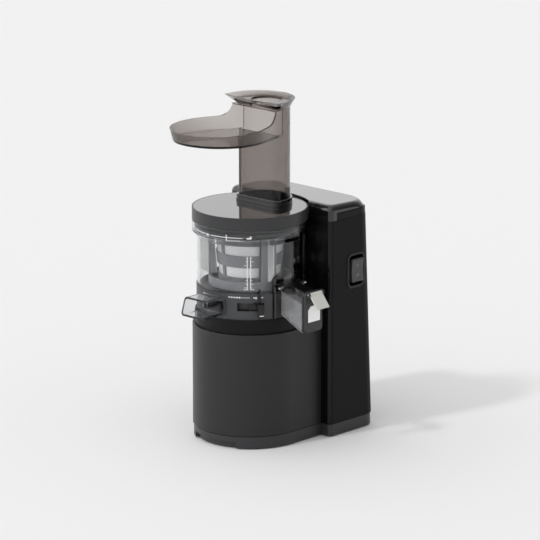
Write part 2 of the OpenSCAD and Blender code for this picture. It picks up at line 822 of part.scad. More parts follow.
module bowl_base() {
    window_half = juice_half_w - spout_wall;
    lever_in = bowl_base_r - base_wall - seat_gap - lever_t;
    color([0.2, 0.205, 0.21]) difference() {
        union() {
            tube(bowl_base_r, bowl_base_r - base_wall, deck_top, base_top);
            disc(bowl_base_r - base_wall / 2, floor_top - floor_t, floor_top);
            disc(hub_r + seat_gap + base_wall, deck_top, floor_top);
            disc(bowl_seal_r + 2 * step_h, floor_top - over, track_z);
            tube(brush_root_r + brush_rim, brush_root_r, floor_top - over, track_z);
            ring_sector(pedestal_in, pedestal_out, floor_top - over, strainer_z,
                idler_angle + pedestal_gap_half, idler_angle + 360 - pedestal_gap_half);
            rotate([0, 0, idler_angle]) translate([idler_orbit, 0, floor_top - over])
                cylinder(r = 2 * pin_r, h = over + step_h);
            ring_sector(lever_in - seat_gap - guide_t, lever_in - seat_gap, slot_z0,
                floor_top - floor_t / 2, slot_from - lever_half, 0);
            box_between([-pulp_half_w + pulp_corner_r / 2, -bowl_base_r + base_wall / 2, pulp_z0],
                [pulp_half_w - pulp_corner_r / 2, -hub_r, floor_top - floor_t / 2]);
        }
        disc(hub_r + seat_gap, deck_top - over, deck_top + hub_h + seat_gap);
        disc(floor_hole_r, deck_top, track_z + over);
        disc(bowl_seal_r, floor_top - 2 * floor_t, track_z + over);
        box_between([-pulp_half_w + pulp_corner_r, -bowl_base_r - over, pulp_z0 + spout_wall],
            [pulp_half_w - pulp_corner_r, -hub_r - seat_gap - base_wall, floor_top - floor_t]);
        ring_sector(pedestal_in + step_h, pedestal_out - step_h, floor_top - floor_t - over,
            strainer_z + over, pulp_angle - pulp_slot_half, pulp_angle + pulp_slot_half);
        box_between([bowl_base_r - 2 * base_wall, -window_half, floor_top],
            [bowl_base_r + over, window_half, base_top - spout_wall]);
        ring_sector(bowl_base_r - base_wall - over, bowl_base_r + over, slot_z0, slot_z1,
            slot_from, slot_to);
        rotate([0, 0, idler_angle]) translate([idler_orbit, 0, floor_top - floor_t + over])
            cylinder(r = pin_r - fit_gap, h = floor_t + step_h);
    }
}
module bowl_seal() {
    color([0.75, 0.3, 0.15]) tube(bowl_seal_r - fit_gap, shaft_r + run_gap,
        floor_top - 2 * floor_t, track_z - seat_gap);
}
// The lever slides along the inside of the band and swings about the bowl's axis
module pulp_lever() {
    r_out = bowl_base_r - base_wall - seat_gap;
    handle_in = bowl_base_r + seat_gap;
    handle_out = handle_in + 2.6 * lever_t;
    handle_top = base_top + 2 * lever_t;
    handle_z0 = deck_top + lever_t * 3 / 4;
    z0 = slot_z0 + seat_gap;
    z1 = slot_z1 - seat_gap;
    a0 = lever_angle - lever_half;
    a1 = lever_angle + lever_half;
    color([0.05, 0.05, 0.05]) union() {
        ring_sector(r_out - lever_t, r_out, z0, z1, a0 - 3 * lever_half, a1 + 3 * lever_half);
        ring_sector(r_out - over, handle_in + over, z0, z1, a0, a1);
        rotate([0, 0, a0]) rotate_extrude(angle = a1 - a0) polygon([
            [handle_in, z0], [handle_out - lever_t / 2, handle_z0], [handle_out, handle_z0],
            [handle_out, z1], [handle_in, z1]]);
        ring_sector(handle_in, handle_in + lever_t / 2, z1 - over, handle_top,
            lever_angle - lever_half / 3, lever_angle + lever_half / 3);
    }
}

module juicing_bowl() {
    color([0.75, 0.76, 0.78, 0.5]) rotate_extrude($fn = 96) polygon([
        [bowl_r - bowl_wall, base_top],
        [bowl_r, base_top],
        [bowl_r, flare_z],
        [lid_r, ring_z],
        [lid_r, lid_z],
        [lid_r - bowl_wall, lid_z],
        [lid_r - bowl_wall, ring_z + edge_r],
        [bowl_r - bowl_wall, flare_z + edge_r]
    ]);
}

// Juice spout: a box-shaped tube that slopes down to its mouth
mouth_z0 = base_top - juice_mouth_drop;
mouth_top_drop = 7;
spout_root_rise = 5;
spout_root_over = 3;
mouth_z1 = base_top - mouth_top_drop;
spout_root_z0 = deck_top + spout_root_rise;
spout_root_z1 = base_top + spout_root_over;
spout_run = juice_reach - bowl_base_r;
fall_low = (spout_root_z0 - mouth_z0) / spout_run;
fall_top = (spout_root_z1 - mouth_z1) / spout_run;
module spout_block(inset, x0, x1) {
    translate([0, juice_half_w - inset, 0]) rotate([90, 0, 0])
        linear_extrude(height = 2 * (juice_half_w - inset)) polygon([
            [x0, spout_root_z0 + inset - fall_low * (x0 - bowl_base_r)],
            [x1, spout_root_z0 + inset - fall_low * (x1 - bowl_base_r)],
            [x1, spout_root_z1 - inset - fall_top * (x1 - bowl_base_r)],
            [x0, spout_root_z1 - inset - fall_top * (x0 - bowl_base_r)]
        ]);
}
module juice_spout() {
    color([0.7, 0.71, 0.73, 0.6]) difference() {
        spout_block(0, bowl_base_r - base_wall, juice_reach);
        spout_block(spout_wall, 0, juice_reach + over);
        disc(bowl_base_r + fit_gap, 0, hopper_top);
    }
}

// Bracket beside the spout that carries the hinge pin of the juice cap
bracket_half = 6.3;
bracket_y = 16.5;
bracket_t = 3;
bracket_h = 21.5;
bracket_top = base_top + bracket_h;
hinge_out = 6.5;
hinge_rise = 7.5;
hinge_x = bowl_r + hinge_out;
hinge_z = base_top + hinge_rise;
hinge_r = 1.5;
knuckle_r = 3;
knuckle_gap = 0.4;
ear_y0 = bracket_y - bracket_half;
module spout_bracket() {
    color([0.05, 0.05, 0.05]) difference() {
        union() {
            intersection() {
                tube(bowl_r + seat_gap + bracket_t, bowl_r + fit_gap, base_top, bracket_top + over);
                for (s = [-1, 1]) translate([0, s * bracket_y, 0]) {
                    box_between([0, -bracket_half, base_top],
                        [lid_r, bracket_half, s < 0 ? bracket_top - bracket_half : hinge_z]);
                    if (s < 0) translate([0, 0, bracket_top - bracket_half]) rotate([0, 90, 0])
                        cylinder(r = bracket_half, h = lid_r);
                }
            }
            intersection() {
                tube(bowl_base_r + bracket_t, bowl_base_r + fit_gap, deck_top + step_h, base_top + over);
                box_between([0, -bracket_y - bracket_half, deck_top],
                    [lid_r, -juice_half_w - seat_gap, base_top + over]);
            }
            for (s = [-1, 1]) {
                y0 = s < 0 ? -ear_y0 - bracket_half : ear_y0;
                box_between([bowl_r - bracket_t / 2, y0, hinge_z - knuckle_r],
                    [hinge_x, y0 + bracket_half, hinge_z + knuckle_r]);
                translate([hinge_x, y0, hinge_z]) rotate([-90, 0, 0])
                    cylinder(r = knuckle_r, h = bracket_half);
            }
        }
        disc(bowl_r + fit_gap, 0, hopper_top);
        disc(bowl_base_r + fit_gap, 0, base_top);
        spout_block(-seat_gap, 0, juice_reach);
        translate([hinge_x, -lid_r, hinge_z]) rotate([-90, 0, 0])
            cylinder(r = hinge_r + fit_gap, h = 2 * lid_r);
    }
}

module pulp_tube(inset, y0, y1) {
    w = 2 * (pulp_half_w - inset);
    h = pulp_z1 - pulp_z0 - 2 * inset;
    translate([0, y1, (pulp_z0 + pulp_z1) / 2]) rotate([90, 0, 0])
        linear_extrude(height = y1 - y0) round_rect(w, h, pulp_corner_r - inset / 2);
}
module pulp_spout() {
    color([0.7, 0.71, 0.73, 0.6]) difference() {
        pulp_tube(0, -pulp_reach, -bowl_base_r + base_wall);
        pulp_tube(spout_wall, -pulp_reach - over, 0);
        disc(bowl_base_r + fit_gap, 0, hopper_top);
        translate([0, -pulp_reach, pulp_z0]) rotate([-atan2(pulp_lean, pulp_z1 - pulp_z0), 0, 0])
            box_between([-2 * pulp_half_w, -2 * pulp_half_w, -pulp_half_w],
                [2 * pulp_half_w, 0, 4 * pulp_half_w]);
    }
}

// Juice cap and its lever

cap_gap = 0.6;
back_layer_t = 2;
gasket_t = 0.8;
front_layer_t = 3;
cap_x0 = juice_reach + cap_gap;
gasket_x0 = cap_x0 + back_layer_t;
gasket_x1 = gasket_x0 + gasket_t;
cap_x1 = gasket_x1 + front_layer_t;
cap_rise = 6;
cap_top = base_top + cap_rise;
cap_corner_r = 4;
arm_t = 3;
barrel_half = ear_y0 - knuckle_gap;
pad_t = 0.9;
pad_chamfer_share = 0.45;
pad_half_w = 9.8;
pad_rise = 12;
pad_h = 19;
pad_z0 = mouth_z0 + pad_rise;
pad_z1 = pad_z0 + pad_h;
ear_t = 1.8;
lever_half_w = 10;
lever_len = 20;
lever_plate_t = 1.8;
lever_lean = 38;
lever_pin_out = 2.2;
lever_pin_rise = 4.6;
lever_pin_x = cap_x1 + lever_pin_out;
lever_pin_z = base_top + lever_pin_rise;
module cap_slab(inset, x0, x1) {
    translate([x0, 0, (mouth_z0 + cap_top) / 2]) rotate([90, 0, 90])
        linear_extrude(height = x1 - x0)
        round_rect(2 * (juice_half_w - inset), cap_top - mouth_z0 - 2 * inset,
            cap_corner_r - inset / 2);
}
module side_plate(points, y0, y1) {
    translate([0, y1, 0]) rotate([90, 0, 0]) linear_extrude(height = y1 - y0) polygon(points);
}
module cap_pad_slab(extra, x0, x1) {
    w = pad_half_w + extra;
    c = pad_chamfer_share * pad_half_w;
    translate([x0, 0, 0]) rotate([90, 0, 90]) linear_extrude(height = x1 - x0) polygon([
        [-w, pad_z0 - extra], [w, pad_z0 - extra], [w, pad_z1 - c], [w - c, pad_z1 + extra],
        [-w + c, pad_z1 + extra], [-w, pad_z1 - c]]);
}
module juice_cap() {
    color([0.25, 0.25, 0.26]) difference() {
        union() {
            cap_slab(0, cap_x0, gasket_x0);
            cap_slab(edge_r, gasket_x0 - slice_t, gasket_x1 + slice_t);
            cap_slab(0, gasket_x1, cap_x1);
            for (s = [-1, 1]) {
                y0 = s < 0 ? -lever_half_w - knuckle_gap - ear_t : lever_half_w + knuckle_gap;
                translate([lever_pin_x, y0, lever_pin_z]) rotate([-90, 0, 0])
                    cylinder(r = 2 * hinge_r - seat_gap, h = ear_t);
                box_between([cap_x1 - over, y0, lever_pin_z - 2 * hinge_r + seat_gap],
                    [lever_pin_x, y0 + ear_t, lever_pin_z + 2 * hinge_r - seat_gap]);
            }
        }
        cap_pad_slab(0, cap_x1 - pad_t / 2, cap_x1 + over);
        translate([lever_pin_x, -lid_r, lever_pin_z]) rotate([-90, 0, 0])
            cylinder(r = hinge_r / 2 + fit_gap, h = 2 * lid_r);
    }
}
// The arm that joins the cap to its hinge
module cap_arm() {
    color([0.05, 0.05, 0.05]) difference() {
        union() {
            side_plate([[hinge_x, hinge_z - knuckle_r / 2], [hinge_x, hinge_z + knuckle_r],
                [hinge_x + arm_t, hinge_z + knuckle_r], [cap_x0, cap_top - over],
                [cap_x0, cap_top - over - arm_t]], -barrel_half + arm_t / 2, barrel_half - arm_t / 2);
            translate([hinge_x, -barrel_half, hinge_z]) rotate([-90, 0, 0])
                cylinder(r = knuckle_r, h = 2 * barrel_half);
        }
        translate([hinge_x, -lid_r, hinge_z]) rotate([-90, 0, 0])
            cylinder(r = hinge_r + fit_gap, h = 2 * lid_r);
    }
}
module cap_gasket() {
    color([0.1, 0.1, 0.1]) difference() {
        cap_slab(gasket_t / 2, gasket_x0, gasket_x1);
        cap_slab(edge_r, gasket_x0 - over, gasket_x1 + over);
    }
}
module cap_pad() {
    color([0.93, 0.93, 0.93]) cap_pad_slab(-fit_gap, cap_x1 - pad_t / 2, cap_x1 + pad_t / 2);
}
module cap_pin() {
    color([0.7, 0.7, 0.72]) translate([hinge_x, -bracket_y - bracket_half + over, hinge_z])
        rotate([-90, 0, 0]) cylinder(r = hinge_r, h = 2 * (bracket_y + bracket_half - over));
}
module cap_lever() {
    color([0.74, 0.73, 0.7]) translate([lever_pin_x, 0, lever_pin_z]) rotate([0, -lever_lean, 0])
        difference() {
            union() {
                box_between([-lever_plate_t / 2, -lever_half_w, -lever_len],
                    [lever_plate_t / 2, lever_half_w, 0]);
                translate([0, -lever_half_w, 0]) rotate([-90, 0, 0])
                    cylinder(r = lever_plate_t, h = 2 * lever_half_w);
            }
            translate([0, -lid_r, 0]) rotate([-90, 0, 0])
                cylinder(r = hinge_r / 2 + fit_gap, h = 2 * lid_r);
        }
}
module lever_pin() {
    half = lever_half_w + knuckle_gap + ear_t;
    color([0.7, 0.7, 0.72]) translate([lever_pin_x, -half, lever_pin_z]) rotate([-90, 0, 0])
        cylinder(r = hinge_r / 2, h = 2 * half);
}

// Strainer

strainer_rise = 70;
strainer_top = base_top + strainer_rise;
strainer_wall_z = strainer_z + plate_t;
mesh_t = 0.5;
mesh_rises = [[13.6, 25.5], [39.4, 51.4]];
mesh_bands = [for (rise = mesh_rises) [base_top + rise[0], base_top + rise[1]]];
window_count = 5;
window_half_angle = 32.5;
window_first = -62.5;
function strainer_r(z) = strainer_foot_r + (strainer_top_r - strainer_foot_r)
    * (z - strainer_wall_z) / (strainer_top - strainer_wall_z);
module cone_shell(out_inset, wall, z0, z1) {
    rotate_extrude() polygon([
        [strainer_r(z0) - out_inset - wall, z0], [strainer_r(z0) - out_inset, z0],
        [strainer_r(z1) - out_inset, z1], [strainer_r(z1) - out_inset - wall, z1]
    ]);
}
module strainer_frame() {
    color([0.3, 0.3, 0.31]) difference() {
        union() {
            tube(strainer_foot_r, auger_tip_r + 2 * step_h, strainer_z, strainer_wall_z);
            cone_shell(0, strainer_wall, strainer_wall_z - plate_t / 2, strainer_top);
            tube(strainer_top_r + step_h, strainer_top_r - strainer_wall, strainer_top - 2 * plate_t,
                strainer_top);
        }
        ring_sector(pedestal_in + step_h, pedestal_out - step_h, strainer_z - over,
            strainer_wall_z + over, pulp_angle - pulp_slot_half, pulp_angle + pulp_slot_half);
        for (band = mesh_bands, i = [0:window_count - 1])
            ring_sector(strainer_foot_r / 2, lid_r, band[0], band[1],
                window_first + i * 360 / window_count - window_half_angle,
                window_first + i * 360 / window_count + window_half_angle);
    }
}
module strainer_mesh() {
    color([0.85, 0.84, 0.82]) for (band = mesh_bands)
        cone_shell(strainer_wall + fit_gap, mesh_t, band[0] - plate_t, band[1] + plate_t);
}

// Brush that turns around the strainer

brush_r = 48;
brush_in_r = 45;
slit_share = 0.22;
arm_half = 11;
arm_angle = -18.5;
arm_pitch = 120;
arm_rise = 62;
arm_top = base_top + arm_rise;
module brush_frame() {
    flange_z = teeth_z1 - plate_t;
    color([0.25, 0.25, 0.26]) difference() {
        rotate_extrude() polygon([[0, teeth_z0], [brush_root_r + brush_rim, teeth_z0],
            [brush_root_r + brush_rim, flange_z], [brush_r, flange_z], [brush_r, arm_top],
            [brush_in_r, arm_top], [brush_in_r, teeth_z1], [0, teeth_z1]]);
        for (a = [0:arm_pitch:2 * arm_pitch]) {
            ring_sector(brush_in_r - over, brush_r + over, teeth_z1 + 4 * plate_t,
                arm_top - 2 * plate_t, arm_angle + a + arm_half, arm_angle + a + arm_pitch - arm_half);
            ring_sector(brush_in_r - over, brush_r + over, teeth_z1 + 4 * plate_t,
                arm_top - 2 * plate_t, arm_angle + a - slit_share * arm_half,
                arm_angle + a + slit_share * arm_half);
        }
        translate([0, 0, teeth_z0 - over]) linear_extrude(height = teeth_h + 2 * over)
            ring_gear_hollow_2d(brush_teeth, brush_module);
    }
}
module brush_blades() {
    z0 = teeth_z1 + 4 * plate_t + seat_gap;
    z1 = arm_top - 2 * plate_t - seat_gap;
    half = -slit_share * arm_half;
    blade_t = 1.4;
    bowl_in = bowl_r - bowl_wall;
    color([0.8, 0.8, 0.78]) for (a = [0:arm_pitch:2 * arm_pitch]) union() {
        ring_sector(brush_in_r - over, brush_r, z0, z1, arm_angle + a + half + fit_gap,
            arm_angle + a - half - fit_gap);
        rotate([0, 0, arm_angle + a]) side_plate([
            [strainer_r(z0) + strainer_wall / 2, z0], [brush_r, z0],
            [bowl_in - seat_gap, z0 + (bowl_in - brush_r) / 2],
            [bowl_in - seat_gap, flare_z - plate_t],
            [brush_r, z1], [strainer_r(z1) + strainer_wall / 2, z1]], -blade_t / 2, blade_t / 2);
    }
}
module idler_gear() {
    color([0.85, 0.84, 0.78]) rotate([0, 0, idler_angle]) translate([idler_orbit, 0, teeth_z0])
        linear_extrude(height = teeth_h) difference() {
            gear_2d(idler_teeth, brush_module, 180 / idler_teeth);
            circle(r = pin_r + run_gap);
        }
}
module idler_pin() {
    color([0.7, 0.7, 0.72]) rotate([0, 0, idler_angle]) translate([idler_orbit, 0, 0]) union() {
        disc(pin_r - 2 * fit_gap, floor_top - floor_t + over, teeth_z1 + seat_gap);
        disc(pin_r + over, teeth_z1 + seat_gap, teeth_z1 + seat_gap + over);
    }
}

// Screw: a core that swells downwards with flights that get shallower, on a drive sleeve

sleeve_r = 9.2;
bore_wall_r = sleeve_r + 1.5 * seat_gap;
sleeve_top = hex_top + 2 * over;
screw_foot = strainer_wall_z + over;
screw_top = strainer_top - 3 * plate_t;
journal_rise = 4;
pin_top = lid_z + journal_rise;
journal_r = 5;
core_foot_share = 0.8;
core_top_share = 0.45;
flight_foot_share = 0.12;
flight_top_share = 0.2;
flank_share = 1.7;
screw_levels = 30;
core_points = 5;
function screw_r(z) = strainer_r(z) - strainer_wall - mesh_t - fit_gap - screw_gap;
function screw_share(z) = max(0, min(1, (z - screw_foot) / (screw_top - screw_foot)));
function flight_half(z) =
    (flight_foot_share + (flight_top_share - flight_foot_share) * screw_share(z)) * 180 / flight_count;
// The angles and the mix between core and flight (0 to 1) around one level
function flight_shape(z) =
    let (h = flight_half(z), foot = flank_share * h, pitch = 360 / flight_count)
    [for (i = [0:flight_count - 1])
        each concat([[-foot, 0], [-h, 1], [h, 1], [foot, 0]],
            [for (k = [1:core_points])
                [foot + (pitch - 2 * foot) * k / (core_points + 1), 0]]) + 
            [for (k = [0:core_points + 3]) [i * pitch, 0]]];
function screw_ring(z, r_core, r_flight, at) = [for (p = flight_shape(at))
    let (a = p[0] - screw_turn * screw_share(at), r = r_core + (r_flight - r_core) * p[1])
    [r * cos(a), r * sin(a), z]];
function core_r(z) = screw_r(z)
    * (core_foot_share + (core_top_share - core_foot_share) * pow(screw_share(z), 0.8));
neck_r = auger_tip_r + step_h / 2;
function screw_rings() = concat(
    [screw_ring(sleeve_top, bore_wall_r, bore_wall_r, screw_foot),
     screw_ring(teeth_z1 + seat_gap, bore_wall_r, bore_wall_r, screw_foot),
     screw_ring(teeth_z1 + seat_gap, neck_r, neck_r, screw_foot),
     screw_ring(strainer_wall_z, neck_r, neck_r, screw_foot)],
    [for (k = [0:screw_levels])
        let (z = screw_foot + (screw_top - screw_foot) * k / screw_levels)
        screw_ring(z, core_r(z), screw_r(z), z)],
    [screw_ring(screw_top + 2 * plate_t, 2 * journal_r, 2 * journal_r, screw_top),
     screw_ring(screw_top + 3 * plate_t, journal_r, journal_r, screw_top),
     screw_ring(pin_top, journal_r, journal_r, screw_top)]);
module auger() {
    color([0.2, 0.2, 0.21]) loft(screw_rings());
}
module auger_gear() {
    color([0.3, 0.3, 0.31]) difference() {
        union() {
            translate([0, 0, teeth_z0]) linear_extrude(height = teeth_h)
                gear_2d(auger_teeth, brush_module, idler_angle);
            disc(sleeve_r, teeth_z0, sleeve_top - over);
        }
        translate([0, 0, teeth_z0 - over]) linear_extrude(height = hex_top + 2 * over - teeth_z0)
            hexagon(hex_flats + 2 * run_gap);
    }
}

// Lid

web_t = 3;
web_rise = 6;
web_z = lid_z + web_rise;
web_top = web_z + web_t;
band_wall = 2.4;
throat_gap = 0.6;
throat_r = strainer_top_r - strainer_wall - throat_gap;
skirt_gap = 0.9;
skirt_h = 8;
skirt_r = lid_r - bowl_wall - skirt_gap;
skirt_z = lid_z - skirt_h;
bush_drop = 4;
seal_drop = 5;
seal_t = 2.5;
bush_r = 8;
slide_gap = 0.2;
sleeve_gap = 0.3;
collar_t = 1.6;
module lid() {
    color([0.23, 0.235, 0.24]) difference() {
        union() {
            tube(lid_r, lid_r - band_wall, lid_z + slide_gap, lid_top_z - lid_plate_t);
            tube(lid_r, lid_r - band_wall / 2, lid_top_z - lid_plate_t - over, lid_top_z);
            disc(lid_r - band_wall / 2, web_z, web_top);
            tube(skirt_r, skirt_r - band_wall, skirt_z, web_z + over);
            tube(throat_r, throat_r - band_wall / 2, strainer_top - plate_t, web_z + over);
            disc(bush_r + band_wall / 2, lid_z - bush_drop, web_top);
        }
        translate([0, 0, web_z - over]) linear_extrude(height = web_t + 2 * over) difference() {
            intersection() {
                d_plan(hopper_wall);
                circle(r = throat_r - band_wall / 2);
            }
            circle(r = bush_r + band_wall / 2);
        }
        disc(bush_r, strainer_top, web_z);
    }
}
module lid_bushing() {
    color([0.85, 0.84, 0.8]) difference() {
        disc(bush_r - fit_gap, lid_z - bush_drop, web_z);
        disc(journal_r + sleeve_gap, strainer_top, pin_top + seat_gap);
    }
}
module lid_seal() {
    color([0.75, 0.3, 0.15]) tube(lid_r - bowl_wall - seat_gap, skirt_r + fit_gap,
        lid_z - seal_drop, lid_z - seal_drop + seal_t);
}
module lid_top() {
    color([0.03, 0.03, 0.035]) translate([0, 0, lid_top_z - lid_plate_t])
        linear_extrude(height = lid_plate_t) difference() {
            circle(r = lid_r - band_wall / 2 - fit_gap);
            d_plan(-sleeve_gap - collar_t - fit_gap);
        }
}
bead_shares = [0.42, 0.54, 1];
bead_out = 2.6;
module collar_layer(grow, z0, z1) {
    translate([0, 0, z0]) linear_extrude(height = z1 - z0) difference() {
        d_plan(-sleeve_gap - collar_t - grow);
        d_plan(-sleeve_gap);
    }
}
module lid_collar() {
    color([0.03, 0.03, 0.035]) union() {
        collar_layer(0, web_top, collar_top);
        collar_layer(bead_out - collar_t, lid_top_z, lid_top_z + bead_shares[0] * collar_h);
        collar_layer((bead_out - collar_t) / 2, lid_top_z + bead_shares[1] * collar_h, collar_top);
    }
}

// Hopper: feed chute, tray and funnel in one piece

neck_z = hopper_top - funnel_h;
rim_z = lid_top_z + tray_rim_h;
funnel_floor_share = 0.364;
funnel_floor = hopper_top - funnel_floor_share * funnel_h;
tray_mid = -52;
tray_flare = 3;
tray_nose_flare = 3;
tray_fall = 4;
tray_edge = 3;
tray_waist_power = 0.85;
neck_step = 0.6;
neck_cut = 1.4;
wing_over = 0.3;
saddle_extra = 4;
saddle_back = 3;
saddle_r = neck_z - rim_z + saddle_extra;
saddle_y = chute_front - saddle_back - saddle_r;
nose_steps = 24;
side_steps = 12;
funnel_lip = 14;
funnel_tip = 15.8;
funnel_front_r = 180;
dish_inset = 6.5;
funnel_front = chute_front - funnel_lip;
funnel_mid = funnel_front + funnel_tip;
pusher_hole_back = 6.5;
pusher_hole_y = chute_mid + pusher_hole_back;
// The funnel's rim: a lens of a round back and a flatter round front
module funnel_plan(inset) {
    intersection() {
        translate([0, funnel_mid]) circle(r = funnel_r - inset);
        translate([0, funnel_front + funnel_front_r])
            circle(r = funnel_front_r - inset, $fn = 5 * $fn);
    }
}
// A ring with a round nose and sides that draw in to the chute; its floor falls towards the chute
function side_w(half_w, neck_w, t) = neck_w
    + (half_w - neck_w) * pow((1 + cos(180 * t)) / 2, tray_waist_power);
function ring_point(x, y, z, fall) =
    [x, y, z - fall * (y + tray_reach) / (tray_reach + chute_front)];
function tray_ring(half_w, front, neck_w, z, fall) = concat(
    [for (i = [0:nose_steps]) let (a = 180 + 180 * i / nose_steps)
        ring_point(half_w * cos(a), tray_mid + front * sin(a), z, fall)],
    [for (k = [1:side_steps]) let (t = k / side_steps)
        ring_point(side_w(half_w, neck_w, t), tray_mid + (chute_mid - tray_mid) * t, z, fall)],
    [for (k = [side_steps:-1:1]) let (t = k / side_steps)
        ring_point(-side_w(half_w, neck_w, t), tray_mid + (chute_mid - tray_mid) * t, z, fall)]);
function tray_rings(inset, neck_in, lift, top) =
    let (w = tray_half_w - inset, front = tray_reach + tray_mid - inset,
         neck_w = chute_half_w - neck_in, z0 = rim_z - tray_depth + lift)
    [tray_ring(w - tray_flare - tray_edge, front - tray_nose_flare - tray_edge,
        neck_w, z0, tray_fall),
     tray_ring(w - tray_flare - tray_edge / 4, front - tray_nose_flare - tray_edge / 4,
        neck_w, z0 + tray_edge / 4, tray_fall),
     tray_ring(w - tray_flare, front - tray_nose_flare, neck_w, z0 + tray_edge, tray_fall),
     tray_ring(w, front, neck_w, rim_z, 0),
     tray_ring(w, front, neck_w, top, 0)];
module hopper() {
    color([0.4, 0.37, 0.36, 0.6]) difference() {
        union() {
            translate([0, 0, web_top + seat_gap])
                linear_extrude(height = neck_z - web_top - seat_gap + over) d_plan(0);
            difference() {
                loft(tray_rings(0, -neck_step, 0, neck_z + wing_over));
                box_between([-2 * tray_half_w, -2 * tray_reach, rim_z],
                    [2 * tray_half_w, saddle_y, hopper_top]);
                translate([-2 * tray_half_w, saddle_y, rim_z + saddle_r]) rotate([0, 90, 0])
                    cylinder(r = saddle_r, h = 4 * tray_half_w);
            }
            hull() {
                translate([0, 0, neck_z]) linear_extrude(height = slice_t) d_plan(0, $fn = 40);
                translate([0, 0, hopper_top - slice_t]) linear_extrude(height = slice_t)
                    funnel_plan(0, $fn = 48);
            }
        }
        translate([0, 0, web_top - over]) linear_extrude(height = funnel_floor - hopper_wall - web_top
            + over) d_plan(hopper_wall);
        loft(tray_rings(hopper_wall, neck_cut, hopper_wall, neck_z - neck_step));
        hull() {
            translate([0, 0, funnel_floor]) linear_extrude(height = slice_t)
                funnel_plan(dish_inset, $fn = 48);
            translate([0, 0, hopper_top]) linear_extrude(height = slice_t)
                funnel_plan(hopper_wall, $fn = 48);
        }
        translate([0, pusher_hole_y, funnel_floor - hopper_wall - over])
            cylinder(r = pusher_hole_r, h = funnel_h);
    }
}

plinth();
feet();
drum_shell();
top_deck();
column_shell();
column_front();
column_cap();
cap_band();
switch_bezel();
switch_rocker();
motor_can();
stator_core();
field_coils();
motor_bearings();
motor_mounts();
rotor();
sun_gear();
cooling_fan();
gearbox_housing();
planet_gear(1);  // planet_gear_1
planet_gear(2);  // planet_gear_2
planet_gear(3);  // planet_gear_3
output_shaft();
output_bearing();
shaft_seal();
power_board();
motor_lead();
cable_gland();
base_screws();
bowl_base();
juicing_bowl();
juice_spout();
spout_bracket();
pulp_spout();
bowl_seal();
pulp_lever();
juice_cap();
cap_gasket();
cap_arm();
cap_pad();
cap_pin();
cap_lever();
lever_pin();
auger();
auger_gear();
strainer_frame();
strainer_mesh();
brush_frame();
brush_blades();
idler_gear();
idler_pin();
lid();
lid_top();
lid_collar();
lid_bushing();
lid_seal();
hopper();
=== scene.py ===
import json
import math

import bpy
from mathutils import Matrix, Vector

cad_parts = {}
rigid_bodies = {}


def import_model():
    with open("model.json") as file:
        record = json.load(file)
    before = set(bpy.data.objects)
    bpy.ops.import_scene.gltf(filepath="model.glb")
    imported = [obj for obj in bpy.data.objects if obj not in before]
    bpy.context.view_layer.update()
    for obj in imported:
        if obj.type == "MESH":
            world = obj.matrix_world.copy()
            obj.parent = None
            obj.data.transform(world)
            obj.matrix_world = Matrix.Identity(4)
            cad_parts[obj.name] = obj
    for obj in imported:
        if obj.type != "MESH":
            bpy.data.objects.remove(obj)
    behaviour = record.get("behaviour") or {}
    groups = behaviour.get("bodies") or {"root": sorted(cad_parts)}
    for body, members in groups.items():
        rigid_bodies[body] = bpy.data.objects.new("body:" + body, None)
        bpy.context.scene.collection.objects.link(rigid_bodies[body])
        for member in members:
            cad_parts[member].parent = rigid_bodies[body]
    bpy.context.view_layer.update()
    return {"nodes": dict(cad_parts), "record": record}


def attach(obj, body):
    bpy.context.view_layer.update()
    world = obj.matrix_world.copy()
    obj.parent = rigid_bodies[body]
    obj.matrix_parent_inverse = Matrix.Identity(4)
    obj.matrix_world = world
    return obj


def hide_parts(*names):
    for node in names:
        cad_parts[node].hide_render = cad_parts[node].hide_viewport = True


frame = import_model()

solids = frame["nodes"]
body_of_solid = {node: body for body, members in frame["record"]["behaviour"]["bodies"].items()
                 for node in members}
slot_of_solid = {part["node"]: part["material_slot"] for part in frame["record"]["subparts"]}
MM = 0.001


# Camera, at the photograph's place

camera_data = bpy.data.cameras.new("camera")
camera_data.lens = 266.67
camera_data.sensor_width = 36
camera_data.clip_end = 60
camera = bpy.data.objects.new("camera", camera_data)
camera.location = (3.1026, -3.24465, 1.35627)
camera.rotation_euler = (math.radians(75.53), 0, math.radians(43.42))
bpy.context.scene.collection.objects.link(camera)
bpy.context.scene.camera = camera
bpy.context.scene.view_settings.view_transform = "Standard"


# Small helpers for node trees

COLOUR, NUMBER = "NodeSocketColor", "NodeSocketFloat"
MIDDLE_GREY = (0.5, 0.5, 0.5, 1)
SKIN_OUTPUTS = [("Colour", COLOUR), ("Roughness", NUMBER), ("Height", NUMBER)]
MIX_SOCKETS = {"FLOAT": (2, 0), "RGBA": (6, 2)}  # the first value's input, and the output


def group(name, inputs, outputs):
    """A shader node group with its named sockets; returns the tree and its two ends."""
    tree = bpy.data.node_groups.new(name, "ShaderNodeTree")
    for label, kind, value in inputs:
        tree.interface.new_socket(label, in_out="INPUT", socket_type=kind).default_value = value
    for label, kind in outputs:
        tree.interface.new_socket(label, in_out="OUTPUT", socket_type=kind)
    return tree, tree.nodes.new("NodeGroupInput"), tree.nodes.new("NodeGroupOutput")


def feed(tree, socket, value):
    """Gives a socket a plain value, or links another node's output to it."""
    if isinstance(value, (int, float, tuple)):
        socket.default_value = value
    else:
        tree.links.new(value, socket)


def give(tree, node, **values):
    """Feeds a node's sockets by name; an underscore stands for a space."""
    for label, value in values.items():
        feed(tree, node.inputs[label.replace("_", " ")], value)


def add(tree, kind, **settings):
    node = tree.nodes.new(kind)
    for key, value in settings.items():
        setattr(node, key, value)
    return node


def placed(tree, which, **values):
    """A node group in a tree, with its inputs fed."""
    node = add(tree, "ShaderNodeGroup", node_tree=which)
    give(tree, node, **values)
    return node


